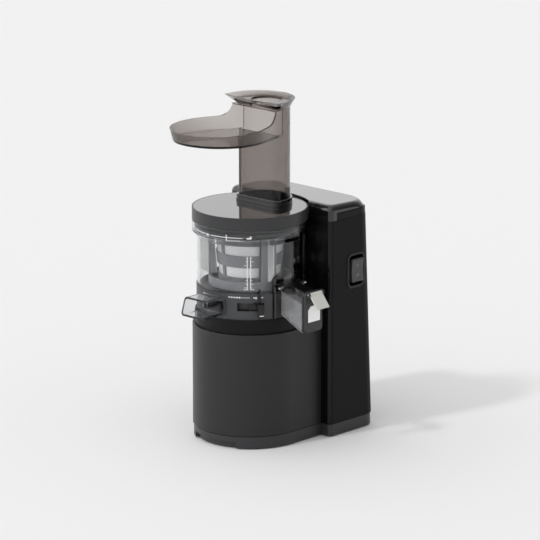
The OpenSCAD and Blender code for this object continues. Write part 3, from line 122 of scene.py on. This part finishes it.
def math_node(tree, operation, *values, clamp=False):
    node = add(tree, "ShaderNodeMath", operation=operation, use_clamp=clamp)
    for socket, value in zip(node.inputs, values):
        feed(tree, socket, value)
    return node.outputs[0]


def swing(tree, value, spread):
    """A value between 0 and 1 as a swing about zero, as wide as the spread."""
    return math_node(tree, "MULTIPLY", math_node(tree, "SUBTRACT", value, 0.5), spread)


def noise(tree, place, scale, detail, roughness):
    node = add(tree, "ShaderNodeTexNoise")
    give(tree, node, Vector=place, Scale=scale, Detail=detail, Roughness=roughness)
    return node.outputs["Fac"]


def mix(tree, kind, factor, a, b):
    """Blends two colours (RGBA) or two numbers (FLOAT)."""
    first, out = MIX_SOCKETS[kind]
    node = add(tree, "ShaderNodeMix", data_type=kind)
    for at, value in ((0, factor), (first, a), (first + 1, b)):
        feed(tree, node.inputs[at], value)
    return node.outputs[out]


def object_place(tree):
    return add(tree, "ShaderNodeTexCoord").outputs["Object"]


# Node groups, one for each kind of surface

def make_moulding():
    """Fine spark-eroded grain of moulded plastic, with slow drifts of tone and polish."""
    tree, start, end = group("moulded grain", [
        ("Colour", COLOUR, MIDDLE_GREY), ("Tone spread", NUMBER, 0.1), ("Roughness", NUMBER, 0.5),
        ("Polish spread", NUMBER, 0.08), ("Grain scale", NUMBER, 1400.0)], SKIN_OUTPUTS)
    place = object_place(tree)
    grain = noise(tree, place, start.outputs["Grain scale"], 2.0, 0.6)
    drift = noise(tree, place, 22.0, 4.0, 0.5)
    tone = math_node(tree, "ADD", swing(tree, drift, start.outputs["Tone spread"]), 1.0)
    bright = add(tree, "ShaderNodeHueSaturation")
    give(tree, bright, Value=tone, Color=start.outputs["Colour"])
    speck = swing(tree, grain, start.outputs["Polish spread"])
    wave = swing(tree, drift, start.outputs["Polish spread"])
    rough = math_node(tree, "ADD", start.outputs["Roughness"],
                      math_node(tree, "ADD", speck, wave), clamp=True)
    give(tree, end, Colour=bright.outputs[0], Roughness=rough, Height=grain)
    return tree


def make_handling():
    """Faint smears and hairlines on a polished face."""
    tree, start, end = group("handled polish", [
        ("Colour", COLOUR, MIDDLE_GREY), ("Roughness", NUMBER, 0.08), ("Smear", NUMBER, 0.08),
        ("Smear scale", NUMBER, 38.0)], SKIN_OUTPUTS)
    place = object_place(tree)
    smear = noise(tree, place, start.outputs["Smear scale"], 5.0, 0.62)
    patch = add(tree, "ShaderNodeMapRange")
    give(tree, patch, Value=smear, From_Min=0.52, From_Max=0.78)
    polish = math_node(tree, "MULTIPLY", patch.outputs[0], start.outputs["Smear"])
    stretch = add(tree, "ShaderNodeMapping")
    give(tree, stretch, Vector=place, Scale=(14, 14, 700), Rotation=(0.5, 0.35, 0.2))
    hair = math_node(tree, "GREATER_THAN", noise(tree, stretch.outputs[0], 3.0, 2.0, 0.5), 0.68)
    worn = math_node(tree, "ADD", polish, math_node(tree, "MULTIPLY", hair, 0.03))
    rough = math_node(tree, "ADD", start.outputs["Roughness"], worn, clamp=True)
    dim = mix(tree, "RGBA", math_node(tree, "MULTIPLY", polish, 0.35), start.outputs["Colour"],
              MIDDLE_GREY)
    give(tree, end, Colour=dim, Roughness=rough, Height=smear)
    return tree


def make_settled_dust():
    """A trace of pale dust on what faces up."""
    tree, start, end = group("settled dust", [
        ("Colour", COLOUR, MIDDLE_GREY), ("Dust", COLOUR, (0.55, 0.54, 0.52, 1)),
        ("Amount", NUMBER, 0.02)], [("Colour", COLOUR)])
    facing = add(tree, "ShaderNodeSeparateXYZ")
    give(tree, facing, Vector=add(tree, "ShaderNodeNewGeometry").outputs["Normal"])
    up = math_node(tree, "MAXIMUM", facing.outputs["Z"], 0.0)
    cloud = math_node(tree, "MULTIPLY", noise(tree, object_place(tree), 55.0, 5.0, 0.6), up)
    amount = math_node(tree, "MULTIPLY", cloud, start.outputs["Amount"])
    give(tree, end, Colour=mix(tree, "RGBA", amount, start.outputs["Colour"],
                               start.outputs["Dust"]))
    return tree


def make_turned_metal():
    """Fine rings left by a lathe or by rolling, around the upright axis."""
    tree, start, end = group("turned metal", [
        ("Colour", COLOUR, (0.6, 0.6, 0.6, 1)), ("Roughness", NUMBER, 0.3),
        ("Ring scale", NUMBER, 900.0)], SKIN_OUTPUTS)
    place = object_place(tree)
    squeeze = add(tree, "ShaderNodeMapping")
    give(tree, squeeze, Vector=place, Scale=(0.02, 0.02, 1))
    rings = noise(tree, squeeze.outputs[0], start.outputs["Ring scale"], 3.0, 0.7)
    rough = math_node(tree, "ADD", start.outputs["Roughness"], swing(tree, rings, 0.25), clamp=True)
    drift = math_node(tree, "MULTIPLY", noise(tree, place, 60.0, 3.0, 0.5), 0.35)
    shade = mix(tree, "RGBA", drift, start.outputs["Colour"], (0.2, 0.2, 0.2, 1))
    give(tree, end, Colour=shade, Roughness=rough, Height=rings)
    return tree


def make_sieve():
    """Rows of small holes around the upright axis, as in an etched sieve."""
    tree, start, end = group("sieve holes", [
        ("Colour", COLOUR, (0.8, 0.8, 0.8, 1)), ("Hole", COLOUR, (0.1, 0.1, 0.1, 1)),
        ("Across", NUMBER, 130.0), ("Rows", NUMBER, 620.0)],
        [("Colour", COLOUR), ("Mask", NUMBER), ("Height", NUMBER)])
    parts = add(tree, "ShaderNodeSeparateXYZ")
    give(tree, parts, Vector=object_place(tree))
    turn = math_node(tree, "ARCTAN2", parts.outputs["Y"], parts.outputs["X"])
    row = math_node(tree, "MULTIPLY", parts.outputs["Z"], start.outputs["Rows"])
    shift = math_node(tree, "MULTIPLY", math_node(tree, "FLOOR", row), 0.5)
    column = math_node(tree, "ADD",
                       math_node(tree, "MULTIPLY", turn, start.outputs["Across"]), shift)
    across = math_node(tree, "SUBTRACT", math_node(tree, "FRACT", column), 0.5)
    along = math_node(tree, "SUBTRACT", math_node(tree, "FRACT", row), 0.5)
    far = math_node(tree, "SQRT", math_node(
        tree, "ADD", math_node(tree, "MULTIPLY", across, across),
        math_node(tree, "MULTIPLY", along, along)))
    mask = math_node(tree, "LESS_THAN", far, 0.27)
    give(tree, end, Mask=mask, Height=math_node(tree, "SUBTRACT", 1.0, mask),
         Colour=mix(tree, "RGBA", mask, start.outputs["Colour"], start.outputs["Hole"]))
    return tree


def make_winding():
    """Turns of enamelled wire laid side by side."""
    tree, start, end = group("wound wire", [
        ("Colour", COLOUR, (0.7, 0.35, 0.15, 1)), ("Roughness", NUMBER, 0.3),
        ("Turns", NUMBER, 240.0)], SKIN_OUTPUTS)
    wave = add(tree, "ShaderNodeTexWave", wave_type="RINGS", rings_direction="Z")
    give(tree, wave, Vector=object_place(tree), Scale=start.outputs["Turns"], Distortion=0.6)
    ridge = wave.outputs["Fac"]
    shade = mix(tree, "RGBA", math_node(tree, "MULTIPLY", ridge, 0.4), start.outputs["Colour"],
                (0.25, 0.08, 0.03, 1))
    rough = math_node(tree, "ADD", start.outputs["Roughness"],
                      math_node(tree, "MULTIPLY", ridge, 0.15))
    give(tree, end, Colour=shade, Roughness=rough, Height=ridge)
    return tree


MOULDING, HANDLING, DUST = make_moulding(), make_handling(), make_settled_dust()
TURNED, SIEVE, WINDING = make_turned_metal(), make_sieve(), make_winding()


# Finishes

GLOSS_COAT = 0.03  # roughness of a polished coat


def material(name):
    made = bpy.data.materials.new(name)
    made.use_nodes = True
    return made, made.node_tree, made.node_tree.nodes["Principled BSDF"]


def bump(tree, height, shader, depth):
    node = add(tree, "ShaderNodeBump")
    give(tree, node, Strength=0.6, Distance=depth, Height=height)
    give(tree, shader, Normal=node.outputs[0])


def dusted(tree, skin, amount):
    """A skin's colour under a trace of dust."""
    return placed(tree, DUST, Colour=skin.outputs["Colour"], Amount=amount).outputs["Colour"]


def moulded(name, colour, roughness, tone=0.12, polish=0.1, scale=1400.0, depth=0.00004,
            dust=0.02, specular=0.5, coat=0.0, coat_rough=0.12):
    """Moulded plastic, matte to satin."""
    made, tree, shader = material(name)
    skin = placed(tree, MOULDING, Colour=(*colour, 1), Tone_spread=tone, Roughness=roughness,
                  Polish_spread=polish, Grain_scale=scale)
    give(tree, shader, Base_Color=dusted(tree, skin, dust), Roughness=skin.outputs["Roughness"],
         Specular_IOR_Level=specular, Coat_Weight=coat, Coat_Roughness=coat_rough)
    bump(tree, skin.outputs["Height"], shader, depth)
    return made


def polished(name, colour, roughness=0.07, smear=0.07, coat=1.0, specular=0.5):
    """Glossy plastic or lacquer that has been handled."""
    made, tree, shader = material(name)
    skin = placed(tree, HANDLING, Colour=(*colour, 1), Roughness=roughness, Smear=smear,
                  Smear_scale=38.0)
    give(tree, shader, Base_Color=dusted(tree, skin, 0.01), Roughness=skin.outputs["Roughness"],
         Specular_IOR_Level=specular, Coat_Weight=coat, Coat_Roughness=GLOSS_COAT)
    bump(tree, skin.outputs["Height"], shader, 0.000006)
    return made


def clear(name, tint, absorb, density, roughness, ior, coat=0.0, through=1.0):
    """Clear or smoky moulding: its depth takes colour, so thick places and edges turn darker."""
    made, tree, shader = material(name)
    skin = placed(tree, HANDLING, Colour=(*tint, 1), Roughness=roughness, Smear=0.05,
                  Smear_scale=30.0)
    give(tree, shader, Base_Color=skin.outputs["Colour"], Roughness=skin.outputs["Roughness"],
         Transmission_Weight=through, IOR=ior, Coat_Weight=coat, Coat_Roughness=GLOSS_COAT)
    bump(tree, skin.outputs["Height"], shader, 0.000004)
    depth = add(tree, "ShaderNodeVolumeAbsorption")
    give(tree, depth, Color=(*absorb, 1), Density=density)
    passing = add(tree, "ShaderNodeBsdfTransparent")
    give(tree, passing, Color=(1, 1, 1, 1))
    choice = add(tree, "ShaderNodeMixShader")
    shadow = add(tree, "ShaderNodeLightPath").outputs["Is Shadow Ray"]
    for socket, value in zip(choice.inputs, (shadow, shader.outputs[0], passing.outputs[0])):
        feed(tree, socket, value)
    give(tree, tree.nodes["Material Output"], Surface=choice.outputs[0], Volume=depth.outputs[0])
    return made


def metal(name, colour, roughness, scale=900.0, depth=0.00003):
    """Turned, rolled or cast metal."""
    made, tree, shader = material(name)
    skin = placed(tree, TURNED, Colour=(*colour, 1), Roughness=roughness, Ring_scale=scale)
    give(tree, shader, Base_Color=skin.outputs["Colour"], Roughness=skin.outputs["Roughness"],
         Metallic=1.0)
    bump(tree, skin.outputs["Height"], shader, depth)
    return made


def sieve(name):
    made, tree, shader = material(name)
    # The steel is given a near-white colour, a painted reflection of the white room; the holes are
    # the sieve's pattern
    holes = placed(tree, SIEVE, Colour=(0.97, 0.97, 0.96, 1), Hole=(0.55, 0.55, 0.55, 1))
    rough = math_node(tree, "ADD", math_node(tree, "MULTIPLY", holes.outputs["Mask"], 0.3), 0.32)
    give(tree, shader, Base_Color=holes.outputs["Colour"], Roughness=rough, Metallic=0.15)
    bump(tree, holes.outputs["Height"], shader, 0.0001)
    return made


def winding(name):
    made, tree, shader = material(name)
    wire = placed(tree, WINDING)
    give(tree, shader, Base_Color=wire.outputs["Colour"], Roughness=wire.outputs["Roughness"],
         Metallic=0.8)
    bump(tree, wire.outputs["Height"], shader, 0.0003)
    return made


FINISH = {
    "matte_black": moulded("drum black", (0.0078, 0.0080, 0.0088), 0.52, specular=0.3, coat=0.3,
                           coat_rough=0.35),
    "satin_black": moulded("deck black", (0.0045, 0.0046, 0.005), 0.4, polish=0.06, specular=0.15),
    "gloss_black": polished("piano black", (0.0025, 0.0025, 0.0027), specular=0.2),
    "dark_grey": moulded("slate grey", (0.026, 0.0265, 0.0285), 0.42, specular=0.35, coat=0.15,
                         coat_rough=0.35),
    "rubber_black": moulded("foot rubber", (0.012, 0.012, 0.012), 0.78, scale=500.0, depth=0.0001,
                            specular=0.3),
    "switch_grey": polished("switch grey", (0.030, 0.030, 0.032), 0.28, 0.1, coat=0.2),
    "motor_steel": metal("rolled steel", (0.50, 0.51, 0.53), 0.38),
    "lamination": metal("stamped laminations", (0.30, 0.31, 0.33), 0.5, scale=2200.0, depth=0.0001),
    "copper": winding("enamelled wire"),
    "steel": metal("turned steel", (0.62, 0.63, 0.65), 0.25),
    "sintered": metal("sintered gear", (0.38, 0.36, 0.32), 0.5, scale=400.0),
    "gear_plastic": moulded("gear plastic", (0.72, 0.70, 0.63), 0.4, tone=0.05),
    "housing_alloy": metal("cast alloy", (0.40, 0.41, 0.43), 0.55, scale=300.0, depth=0.0001),
    "board_green": polished("board lacquer", (0.02, 0.13, 0.05), 0.2, 0.1, coat=0.5),
    "lead_red": moulded("lead sleeve", (0.42, 0.03, 0.02), 0.45),
    "clear_plastic": clear("clear bowl", (0.97, 0.975, 0.98), (0.60, 0.62, 0.65), 70.0, 0.02,
                           1.16, coat=0.5),
    "clear_spout": clear("clear spout", (0.97, 0.975, 0.98), (0.45, 0.47, 0.50), 120.0, 0.03,
                         1.16, coat=0.5),
    "smoke_plastic": clear("smoky plastic", (0.98, 0.975, 0.97), (0.452, 0.398, 0.365), 480.0, 0.03,
                           1.35),
    "silicone_white": moulded("wiper silicone", (0.70, 0.70, 0.68), 0.5, tone=0.05),
    "warm_grey": moulded("lever grey", (0.60, 0.59, 0.55), 0.38, tone=0.05, polish=0.06),
    "white_plastic": moulded("pad white", (0.96, 0.96, 0.96), 0.35, tone=0.03, polish=0.05,
                             dust=0.0),
    "mesh_steel": sieve("etched sieve with painted reflection"),
    "frame_grey": moulded("strainer grey", (0.22, 0.22, 0.23), 0.38, polish=0.06),
    "screw_black": polished("screw black", (0.035, 0.035, 0.038), 0.2, 0.1, coat=0.4),
}

# Solids that look a little different from the rest of their slot

OWN_FINISH = {
    "column_shell": moulded("column black", (0.0108, 0.0110, 0.0115), 0.5, specular=0.08),
    "column_front": polished("column face", (0.0022, 0.0022, 0.0024), 0.1, specular=0.05, coat=0.4),
    "column_cap": polished("cap black", (0.0022, 0.0022, 0.0024), 0.08, specular=0.3, coat=0.9),
    "switch_bezel": polished("bezel black", (0.004, 0.004, 0.0042), 0.15, coat=0.3, specular=0.15),
    "pulp_lever": polished("lever black", (0.004, 0.004, 0.0042), 0.15, coat=0.4, specular=0.2),
    # The spout body passes only part of the light and has a pale milky share: partly a frosted
    # moulding, partly a painted reflection that lightens it against the dark column behind
    "juice_spout": clear("frosted spout body with painted reflection", (0.78, 0.78, 0.79), (0.45, 0.47, 0.50), 90.0, 0.05,
                         1.16, coat=0.5, through=0.86),
    "bowl_base": moulded("band grey", (0.056, 0.057, 0.060), 0.42, specular=0.3),
}

# White for printed marks, also used for the painted highlight on the lever's handle
PRINT_AND_PAINTED_HIGHLIGHT = moulded("print white and painted highlight", (0.78, 0.78, 0.78), 0.5, tone=0.05, dust=0.0)
PRINT_GREY = moulded("print grey", (0.30, 0.30, 0.30), 0.5, tone=0.05, dust=0.0)


def dress(piece, finish):
    if not piece.material_slots:
        piece.data.materials.append(finish)
    for place in piece.material_slots:
        place.material = finish


def finish_of(name):
    return OWN_FINISH.get(name, FINISH[slot_of_solid[name]])


for name, solid in solids.items():
    dress(solid, finish_of(name))


# Making pieces

EASE_FROM, EASE_SEGMENTS = 32, 2    # edges sharper than this many degrees are eased, in two steps
SMOOTH_EASED, SMOOTH_FINE = 38, 35  # degrees up to which faces are shaded as one
WELD, FLAT = 0.06, 0.4              # mm within which corners merge, degrees within which faces do


def only(piece):
    bpy.ops.object.select_all(action="DESELECT")
    piece.select_set(True)
    bpy.context.view_layer.objects.active = piece


def settle(piece):
    """Puts a piece's place into its mesh and leaves its object at the origin."""
    only(piece)
    bpy.ops.object.transform_apply(location=True, rotation=True, scale=True)


def finish_piece(piece, body, finish, angle=SMOOTH_FINE):
    settle(piece)
    bpy.ops.object.shade_smooth_by_angle(angle=math.radians(angle))
    dress(piece, finish)
    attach(piece, body)
    return piece


def eased(name, width):
    """The solid's copy with its sharp edges eased by a small radius; it stands for the solid."""
    only(solids[name])
    bpy.ops.object.duplicate()
    piece = bpy.context.active_object
    bpy.ops.object.parent_clear(type="CLEAR_KEEP_TRANSFORM")
    piece.name = name + "_eased"
    for key in list(piece.keys()):
        del piece[key]
    bpy.ops.object.mode_set(mode="EDIT")
    bpy.ops.mesh.customdata_custom_splitnormals_clear()
    bpy.ops.mesh.select_all(action="SELECT")
    bpy.ops.mesh.remove_doubles(threshold=WELD * MM)
    bpy.ops.mesh.dissolve_limited(angle_limit=math.radians(FLAT))
    bpy.ops.object.mode_set(mode="OBJECT")
    if width:
        ease = piece.modifiers.new("ease", "BEVEL")
        ease.width = width * MM
        ease.segments = EASE_SEGMENTS
        ease.limit_method = "ANGLE"
        ease.angle_limit = math.radians(EASE_FROM)
        bpy.ops.object.modifier_apply(modifier=ease.name)
    finish_piece(piece, body_of_solid[name], finish_of(name), SMOOTH_EASED)
    level = piece.modifiers.new("level", "WEIGHTED_NORMAL")
    level.keep_sharp = True
    bpy.ops.object.modifier_apply(modifier=level.name)
    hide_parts(name)


# Width of the eased edge in mm; 0 where only the shading is smoothed
EASED = {
    "plinth": 0.8, "drum_shell": 0.5, "top_deck": 0.5, "column_shell": 0.35, "column_front": 0.35,
    "column_cap": 0.35, "cap_band": 0.25, "switch_bezel": 0.4, "switch_rocker": 0.6,
    "bowl_base": 0.3, "juicing_bowl": 0.5, "juice_spout": 0.4, "spout_bracket": 0.5,
    "pulp_spout": 0.5, "pulp_lever": 0.4, "juice_cap": 0.5, "cap_arm": 0.3, "cap_lever": 0.4,
    "cap_pad": 0.2, "lid": 0.4, "lid_top": 0.4, "lid_collar": 0.5, "hopper": 0.6, "auger": 0.0,
    "strainer_frame": 0.25, "brush_frame": 0.3, "brush_blades": 0.0,
}
for name, width in EASED.items():
    eased(name, width)


# Printed and raised marks, and one painted highlight, each a thin bar swept round the upright axis

WALL, BASE, RING, LEVER = 61.02, 62.02, 67.02, 70.64  # radii of the faces that carry marks, in mm
PRINTED, RAISED = 0.12, 0.25                          # how far the marks stand out, in mm
SWEEP_STEP = 2.5                                      # degrees


def bar(name, radius, from_deg, to_deg, low, high, depth=PRINTED, body="bowl"):
    """A thin bar on a round wall, from one angle to another (degrees), between two heights (mm)."""
    bpy.ops.object.select_all(action="DESELECT")
    turn = math.radians(from_deg)
    centre = Vector((math.cos(turn), math.sin(turn), 0)) * (radius + depth / 2) * MM
    centre.z = (low + high) / 2 * MM
    bpy.ops.mesh.primitive_plane_add(size=1, location=centre, rotation=(math.pi / 2, 0, turn))
    piece = bpy.context.active_object
    piece.name = name
    piece.scale = (depth * MM, (high - low) * MM, 1)
    settle(piece)
    steps = max(2, int(abs(to_deg - from_deg) / SWEEP_STEP))
    bpy.ops.object.mode_set(mode="EDIT")
    bpy.ops.mesh.select_all(action="SELECT")
    bpy.ops.mesh.spin(steps=steps, angle=math.radians(from_deg - to_deg), center=(0, 0, 0),
                      axis=(0, 0, 1))
    bpy.ops.mesh.select_all(action="SELECT")
    bpy.ops.mesh.remove_doubles(threshold=0.000001)
    bpy.ops.mesh.normals_make_consistent(inside=False)
    bpy.ops.object.mode_set(mode="OBJECT")
    return finish_piece(piece, body, PRINT_AND_PAINTED_HIGHLIGHT)


def marks(name, radius, rows, depth=PRINTED):
    """Several bars on one wall as one piece; a row is two angles and two heights."""
    pieces = [bar("m", radius, *row, depth) for row in rows]
    only(pieces[0])
    for piece in pieces:
        piece.select_set(True)
    bpy.ops.object.join()
    pieces[0].name = name


# Two upright lines on the bowl with short dashes outside them, and a foot under each
graduation = [(-49.4, -48.5, 190.5, 229), (-46.0, -45.1, 190.5, 229)]
for k in range(9):
    z = 192 + k * 4.4
    graduation.append((-52.6 if k % 3 == 0 else -51.0, -49.0, z, z + 0.6))
    graduation.append((-45.4, -42.2 if k % 3 == 1 else -43.6, z, z + 0.6))
graduation += [(-53.0, -48.6, 189.8, 190.6), (-45.6, -41.4, 189.8, 190.6)]
marks("bowl_graduation", WALL, graduation)

# Blocks, a rule with its end mark and a small drop, over the pulp lever
scale = [(start, start + wide, 180.0, 181.4) for start, wide in (
    (-69.5, 1.6), (-67.0, 2.0), (-64.0, 1.8), (-61.4, 2.4), (-42.6, 1.4), (-36.6, 2.0),
    (-33.8, 1.6))]
scale += [(-57.0, -46.0, 180.5, 180.95), (-58.2, -56.8, 179.8, 181.7)]
scale += [(-40.9 + inset, -38.7 - inset, 178.9 + lift, 179.5 + lift) for inset, lift in (
    (0.75, 0.0), (0.35, 0.6), (0.0, 1.2), (0.35, 1.8), (0.75, 2.4))]
marks("lever_scale", BASE, scale)

# A painted highlight: a pale bar along the lower edge of the lever's handle, standing for a glint
# of light
bar("handle_painted_highlight", LEVER, -37.2, -33.3, 160.4, 161.4, 0.15, "lever")

# A rule with a cross stroke, a stepped block and an arrowhead of four steps, on the clear ring
arrow = [(-87.8, -53.4, 251.6, 252.4), (-70.4, -69.4, 247.6, 255.2), (-49.4, -44.6, 251.0, 252.8),
         (-46.4, -44.6, 252.8, 254.4)]
arrow += [(-92.2 - half, -92.2 + half, 250.8 + lift, 251.4 + lift) for half, lift in (
    (2.2, 0.0), (1.7, 0.6), (1.2, 1.2), (0.7, 1.8))]
marks("ring_scale", RING, arrow, RAISED)


# A dark gasket under the clear ring

GASKET_Z = 249.8 * MM
bpy.ops.object.select_all(action="DESELECT")
bpy.ops.mesh.primitive_torus_add(major_radius=63.7 * MM, minor_radius=0.7 * MM,
                                 major_segments=128, minor_segments=10,
                                 location=(0, 0, GASKET_Z))
gasket = bpy.context.active_object
gasket.name = "ring_gasket"
bpy.ops.object.mode_set(mode="EDIT")
bpy.ops.mesh.select_all(action="SELECT")
bpy.ops.transform.resize(value=(1, 1, 0.75), center_override=(0, 0, GASKET_Z))
bpy.ops.object.mode_set(mode="OBJECT")
finish_piece(gasket, "bowl", FINISH["rubber_black"])


# Marks on the rocker: a short bar and a ring, raised from its dished face

FACE_X, FACE_Y, FACE_Z = 84.2, 93.8, 194.8  # mm: the face's ends, its middle line, its middle
FACE_HALF, FACE_DISH = 12.5, 1.2            # mm: half its height, and how deep it is dished
PROUD = 0.05


def rocker_mark(name, ring, z):
    bpy.ops.object.select_all(action="DESELECT")
    if ring:
        bpy.ops.mesh.primitive_torus_add(major_radius=1.7 * MM, minor_radius=0.3 * MM,
                                         major_segments=24, minor_segments=6)
    else:
        bpy.ops.mesh.primitive_cube_add(size=1)
    piece = bpy.context.active_object
    piece.name = name
    if not ring:
        piece.scale = (0.5 * MM, 0.7 * MM, 3.4 * MM)
        settle(piece)
        edge = piece.modifiers.new("round", "BEVEL")
        edge.width = 0.15 * MM
        edge.segments = 2
        bpy.ops.object.modifier_apply(modifier=edge.name)
    lean = math.atan2(FACE_DISH, FACE_HALF) * (-1 if z > FACE_Z else 1)
    piece.rotation_euler = (0, lean + (math.pi / 2 if ring else 0), 0)
    sunk = FACE_DISH * (1 - abs(z - FACE_Z) / FACE_HALF)
    piece.location = ((FACE_X - sunk + PROUD) * MM, FACE_Y * MM, z * MM)
    finish_piece(piece, "rocker", PRINT_GREY)


rocker_mark("rocker_bar", False, 200.6)
rocker_mark("rocker_ring", True, 189.2)


# Floor

bpy.ops.object.select_all(action="DESELECT")
bpy.ops.mesh.primitive_plane_add(size=40, location=(0, 0, 0))
floor = bpy.context.active_object
floor.name = "floor"
made, tree, shader = material("studio floor")
paper = placed(tree, MOULDING, Colour=(0.885, 0.885, 0.885, 1), Tone_spread=0.004, Roughness=0.9,
               Polish_spread=0.02, Grain_scale=60.0)
give(tree, shader, Base_Color=paper.outputs["Colour"], Roughness=paper.outputs["Roughness"],
     Specular_IOR_Level=0.1)
dress(floor, made)


# Light: a weak sun, and a white room that is brighter to the left of the photograph

BRIGHT_SIDE = (-0.726, -0.687, 0.0)
SOFT, SOFT_TURN = 0.84, 0.34      # what lights the surfaces: its mean, and its change to one side
MIRROR, MIRROR_TURN = 1.02, 0.85  # what is mirrored in them
SEEN = 0.9                        # what is seen straight, or through clear parts

sun_data = bpy.data.lights.new("key", "SUN")
sun_data.energy = 0.68
sun_data.angle = math.radians(5)
sun = bpy.data.objects.new("key", sun_data)
sun.rotation_euler = Vector((-0.2, -0.9, 1.0)).to_track_quat("Z", "Y").to_euler()
bpy.context.scene.collection.objects.link(sun)

world = bpy.data.worlds.new("studio")
world.use_nodes = True
bpy.context.scene.world = world
tree = world.node_tree
ray = add(tree, "ShaderNodeLightPath").outputs
side = add(tree, "ShaderNodeVectorMath", operation="DOT_PRODUCT")
feed(tree, side.inputs[0], add(tree, "ShaderNodeTexCoord").outputs["Generated"])
feed(tree, side.inputs[1], BRIGHT_SIDE)
toward = side.outputs["Value"]
soft = math_node(tree, "ADD", math_node(tree, "MULTIPLY", toward, SOFT_TURN), SOFT)
mirrored = math_node(tree, "ADD", math_node(tree, "MULTIPLY", toward, MIRROR_TURN), MIRROR)
seen = math_node(tree, "MAXIMUM", ray["Is Camera Ray"], ray["Is Transmission Ray"])
unseen = mix(tree, "FLOAT", ray["Is Glossy Ray"], soft, mirrored)
give(tree, tree.nodes["Background"], Color=(1, 1, 1, 1),
     Strength=mix(tree, "FLOAT", seen, unseen, SEEN))
